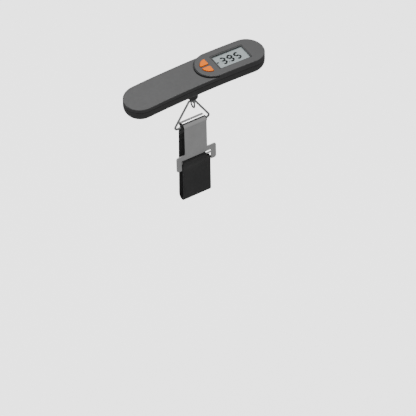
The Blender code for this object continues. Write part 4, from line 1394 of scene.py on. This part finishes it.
@dataclass
class Strap:
    """Webbing: sewn round the ring's bar, down behind, up in front and round the plate's lower bar."""

    bar: float = -62.0 * MM
    web: float = 1.3 * MM
    width: float = 33.0 * MM
    top_width: float = 29.5 * MM
    half_depth: float = 5.1 * MM
    bottom: float = -162.6 * MM
    tail: float = -80.0 * MM
    span: float = 2.0 * MM
    selvedge: float = 0.35 * MM
    wire: float = 1.15 * MM
    gap: float = 0.3 * MM
    plate_y: float = -4.25 * MM
    plate_half: float = 0.6 * MM
    strap_bar: Point2 = (-108.6 * MM, -106.6 * MM)
    tuck_z: Point2 = (-111.2 * MM, -109.4 * MM)
    tuck_depth: float = 5.4 * MM
    flex: Point2 = (-130 * MM, -118 * MM)
    across: int = 24
    stitch_rows: Point2 = (-74.5 * MM, -79.0 * MM)
    stitch_reach: int = 13
    stitch_pitch: int = 2
    stitch_long: float = 1.5 * MM
    thread: float = 0.45 * MM

    def rear_line(self) -> list[Point2]:
        """Centre line (y, z) from the sewn tail round the ring's bar and down to the bottom.

        Returns:
            The points.
        """
        loop = self.wire + self.gap + self.web / 2
        rear = self.half_depth - self.web / 2
        tail = rear - self.web - 0.15 * MM
        line = [(tail, self.tail), (tail, self.tail + 7 * MM), (0.7 * MM, self.bar - 6 * MM),
                (-1.6 * MM, self.bar - 2.6 * MM)]
        line += points_on_arc((0.0, self.bar), loop, math.radians(185), 0.0, 18)
        line += [(loop + 0.6 * MM, self.bar - 2.5 * MM), (rear - 0.6 * MM, self.bar - 5.5 * MM),
                 (rear, self.bar - 8.5 * MM)]
        return line + points_on_arc((0.0, self.bottom + self.half_depth), rear, 0.0, -math.pi / 2, 12)

    def front_line(self) -> list[Point2]:
        """Centre line (y, z) from the bottom up the front, round the plate's bar to the sewn end.

        Returns:
            The points.
        """
        rear = self.half_depth - self.web / 2
        reach = self.plate_half + self.gap + self.web / 2
        top = self.strap_bar[1] + self.gap + self.web / 2
        front, back = self.plate_y - reach, self.plate_y + reach
        low = self.strap_bar[0] - 2 * MM
        line = points_on_arc((0.0, self.bottom + self.half_depth), rear, -math.pi / 2, -math.pi, 12)
        line += [(-rear - 0.1 * MM, low - 9 * MM), (-rear - 0.5 * MM, low - 5 * MM),
                 (front + 0.2 * MM, low - 2.0 * MM), (front, low)]
        line += round_corners([(front, low), (front, top), (back, top), (back, low)],
                              [0.0, 0.9 * MM, 0.9 * MM, 0.0], 6)[1:-1]
        return line + [(back, low), (-rear + self.web + 0.2 * MM, low - 4 * MM),
                       (-rear + self.web + 0.15 * MM, low - 9 * MM)]

    def half_width(self, y: float, z: float) -> float:
        """The webbing's half width: it narrows up its rear layer.

        Args:
            y: where on the centre line, front to back.
            z: its height.

        Returns:
            The half width.
        """
        if y < -self.half_depth / 2:
            return self.width / 2
        share = min(max((z - self.bottom) / (self.bar - self.bottom), 0.0), 1.0)
        return (self.width + (self.top_width - self.width) * share) / 2

    def tuck(self, z: float) -> float:
        """How far the front length's right edge is drawn in where it goes round the plate's bar.

        Args:
            z: height on the centre line.

        Returns:
            How far it is drawn in.
        """
        share = min(max((z - self.tuck_z[0]) / (self.tuck_z[1] - self.tuck_z[0]), 0.0), 1.0)
        return self.tuck_depth * share

    def band(self, line: Sequence[Point2], name: str, start: float,
             tucked: bool = False) -> tuple[bpy.types.Object, float]:
        """A band of webbing along a centre line, with a UV map in metres.

        Args:
            line: the centre line in Y and Z.
            name: the piece's name.
            start: how far along the webbing the line begins.
            tucked: whether its right edge is drawn in at the plate's bar.

        Returns:
            The object and the distance along at its end.
        """
        dense = smoothed(line, self.span)
        runs = [start]
        for first, second in zip(dense, dense[1:]):
            runs.append(runs[-1] + (Vector(second) - Vector(first)).length)
        bm = bmesh.new()
        bmesh.ops.create_grid(bm, x_segments=self.across, y_segments=len(dense) - 1, size=1.0)
        uv = bm.loops.layers.uv.new("webbing")
        rows: dict[bmesh.types.BMVert, tuple[float, float]] = {}
        for vert in bm.verts:
            row = round((vert.co.y + 1) / 2 * (len(dense) - 1))
            y, z = dense[row]
            half = self.half_width(y, z)
            reach = vert.co.x * half - (self.tuck(z) * (vert.co.x + 1) / 2 if tucked else 0.0)
            rows[vert] = (vert.co.x * self.width / 2, runs[row])
            vert.co = (reach, y, z)
        for face in bm.faces:
            for loop in face.loops:
                loop[uv].uv = rows[loop.vert]
        bmesh.ops.recalc_face_normals(bm, faces=bm.faces)
        obj = to_object(bm, name, Finish.WEBBING, 60.0)
        shell = obj.modifiers.new("thickness", "SOLIDIFY")
        shell.thickness, shell.offset, shell.use_even_offset = self.web, 0.0, True
        bevel = obj.modifiers.new("selvedge", "BEVEL")
        bevel.width, bevel.segments, bevel.limit_method = self.selvedge, 2, "ANGLE"
        bevel.angle_limit = math.radians(60)
        bm = evaluated(obj)
        obj.modifiers.clear()
        bm.to_mesh(obj.data)
        bm.free()
        obj.data.shade_smooth()
        obj.data.set_sharp_from_angle(angle=math.radians(50))
        return obj, runs[-1]

    def stitches(self, name: str, places: Sequence[Vector]) -> bpy.types.Object:
        """Sewn stitches that lie across the webbing.

        Args:
            name: the piece's name.
            places: the middle of each stitch.

        Returns:
            The object.
        """
        bm = bmesh.new()
        size = Matrix.Diagonal((self.stitch_long / 2, self.thread / 2, self.thread / 2, 1.0))
        for middle in places:
            bmesh.ops.create_icosphere(bm, subdivisions=2, radius=1.0,
                                       matrix=Matrix.Translation(middle) @ size)
        return to_object(bm, name, Finish.THREAD, 80.0)

    def build(self) -> None:
        """Make both lengths of webbing and their stitching."""
        rear, run = self.band(self.rear_line(), "webbing_rear", 0.0)
        register(rear, "strap", ["strap"])
        front, end = self.band(self.front_line(), "webbing_front", run, tucked=True)
        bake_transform(front)
        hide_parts("strap_end_loop")
        LOG.info("webbing_front bends between strap and hook_plate")
        places = [Vector((x * MM, self.half_depth + 0.05 * MM, z)) for z in self.stitch_rows
                  for x in range(-self.stitch_reach, self.stitch_reach + 1, self.stitch_pitch)]
        tail = self.stitches("tail_stitches", places)
        register(tail, "strap")


def smoothed(line: Sequence[Point2], step: float) -> list[Point2]:
    """A line with points added along its long spans.

    Args:
        line: the points in order.
        step: the longest span wanted.

    Returns:
        The denser line.
    """
    result = [line[0]]
    for first, second in zip(line, line[1:]):
        gap = (Vector(second) - Vector(first)).length
        count = max(1, math.ceil(gap / step))
        result += [tuple(Vector(first).lerp(Vector(second), i / count)) for i in range(1, count + 1)]
    return result


# ---------------------------------------------------------------- kept nodes and studio

KEPT: dict[Finish, tuple[str, ...]] = {
    Finish.INNER: ("lcd_holder", "battery_holder", "power_switch", "unit_switch", "controller_chip"),
    Finish.RUBBER: ("zebra_strip_front", "zebra_strip_rear"),
    Finish.BOARD: ("circuit_board",),
    Finish.DISPLAY: ("lcd_cell",),
    Finish.BEAM: ("load_cell",),
    Finish.FOIL: ("strain_gauge_top", "strain_gauge_bottom"),
    Finish.BRASS: ("swivel_washer", "battery_contact_positive", "battery_contact_negative"),
    Finish.WIRE: ("load_cell_screw_1", "load_cell_screw_2", "housing_screw_1", "housing_screw_2",
                  "housing_screw_3", "housing_screw_4", "swivel_nut", "coin_cell"),
    Finish.SHEATH: ("load_cell_cable", "battery_cable"),
}


def dress_kept_nodes() -> None:
    """Give the CAD nodes that stay their finishes."""
    for finish, names in KEPT.items():
        for name in names:
            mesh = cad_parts[name].data
            mesh.materials.clear()
            mesh.materials.append(finish.material())
            LOG.info("%s keeps its shape", name)


@dataclass
class Studio:
    """Camera, lights and floor; the lens is given in sensor widths and each light as size and power."""

    azimuth: float = -30.17
    elevation: float = 44.77
    roll: float = -1.27
    distance: float = 3.0
    aim: Point2 = (15.87 * MM, -130.71 * MM)
    focal_share: float = 7.2115385
    sensor: float = 36.0
    overhead: Point2 = (1.2, 29.5)
    left_fill: Point2 = (1.0, 1.2)
    surround: float = 0.33
    floor_z: float = -0.45
    floor_half: float = 6.0
    floor_glow: float = 2.0

    def build_camera(self) -> None:
        """Long-lens camera that looks down on the scale from the handle's side."""
        turn, rise = math.radians(self.azimuth), math.radians(self.elevation)
        back = Vector((math.sin(turn) * math.cos(rise), -math.cos(turn) * math.cos(rise), math.sin(rise)))
        right = Vector((0, 0, 1)).cross(back).normalized()
        up = back.cross(right)
        roll = math.radians(self.roll)
        across = right * math.cos(roll) + up * math.sin(roll)
        upward = up * math.cos(roll) - right * math.sin(roll)
        data = bpy.data.cameras.new("camera")
        data.sensor_width, data.lens = self.sensor, self.sensor * self.focal_share
        data.clip_start, data.clip_end = 0.1, 30.0
        camera = bpy.data.objects.new("camera", data)
        bpy.context.scene.collection.objects.link(camera)
        place = across * self.aim[0] + upward * self.aim[1] + back * self.distance
        basis = Matrix((across, upward, back)).transposed().to_4x4()
        camera.matrix_world = Matrix.Translation(place) @ basis
        bpy.context.scene.camera = camera

    def add_light(self, name: str, place: Sequence[float], size: float, power: float) -> None:
        """An area light aimed at the scale.

        Args:
            name: the light's name.
            place: where it hangs.
            size: its side.
            power: its power in watts.
        """
        data = bpy.data.lights.new(name, "AREA")
        data.shape, data.size, data.energy = "SQUARE", size, power
        light = bpy.data.objects.new(name, data)
        bpy.context.scene.collection.objects.link(light)
        light.location = place
        light.rotation_euler = (-Vector(place)).to_track_quat("-Z", "Y").to_euler()

    def build(self) -> None:
        """Make the camera, the lights, the floor and the surroundings."""
        self.build_camera()
        self.add_light("overhead", (0.1, 0.35, 1.5), *self.overhead)
        self.add_light("left_fill", (-1.2, -1.0, 0.4), *self.left_fill)
        world = bpy.data.worlds.new("studio")
        world.use_nodes = True
        background = world.node_tree.nodes["Background"]
        background.inputs["Color"].default_value = (1, 1, 1, 1)
        background.inputs["Strength"].default_value = self.surround
        bpy.context.scene.world = world
        self.build_floor()

    def build_floor(self) -> None:
        """Pale floor that glows evenly and casts no light on the scale."""
        bm = bmesh.new()
        bmesh.ops.create_grid(bm, x_segments=8, y_segments=8, size=self.floor_half,
                              matrix=Matrix.Translation((0, 0, self.floor_z)))
        floor = to_object(bm, "floor")
        material = bpy.data.materials.new("pale_floor")
        material.use_nodes = True
        shader = material.node_tree.nodes["Principled BSDF"]
        shader.inputs["Base Color"].default_value = (0.9, 0.9, 0.9, 1)
        shader.inputs["Roughness"].default_value = 0.9
        shader.inputs["Emission Color"].default_value = (1, 1, 1, 1)
        shader.inputs["Emission Strength"].default_value = self.floor_glow
        floor.data.materials.append(material)
        floor.visible_diffuse = False
        floor.visible_glossy = False


def main() -> None:
    """Build the studio and every piece in order."""
    logging.basicConfig(level=logging.INFO, format="%(message)s")
    Studio().build()
    arch = Arch()
    housing = Housing(arch)
    head_seat = arch.seat(housing.window_x, housing.head_top - housing.wall / 2)
    buttons = Buttons(head_seat)
    housing.build_upper(buttons)
    housing.build_lower()
    housing.build_door()
    housing.build_step_shade_strip()
    buttons.build()
    Display(head_seat).build()
    Hanger().build()
    HookPlate().build()
    Strap().build()
    dress_kept_nodes()


if __name__ == "__main__":
    main()
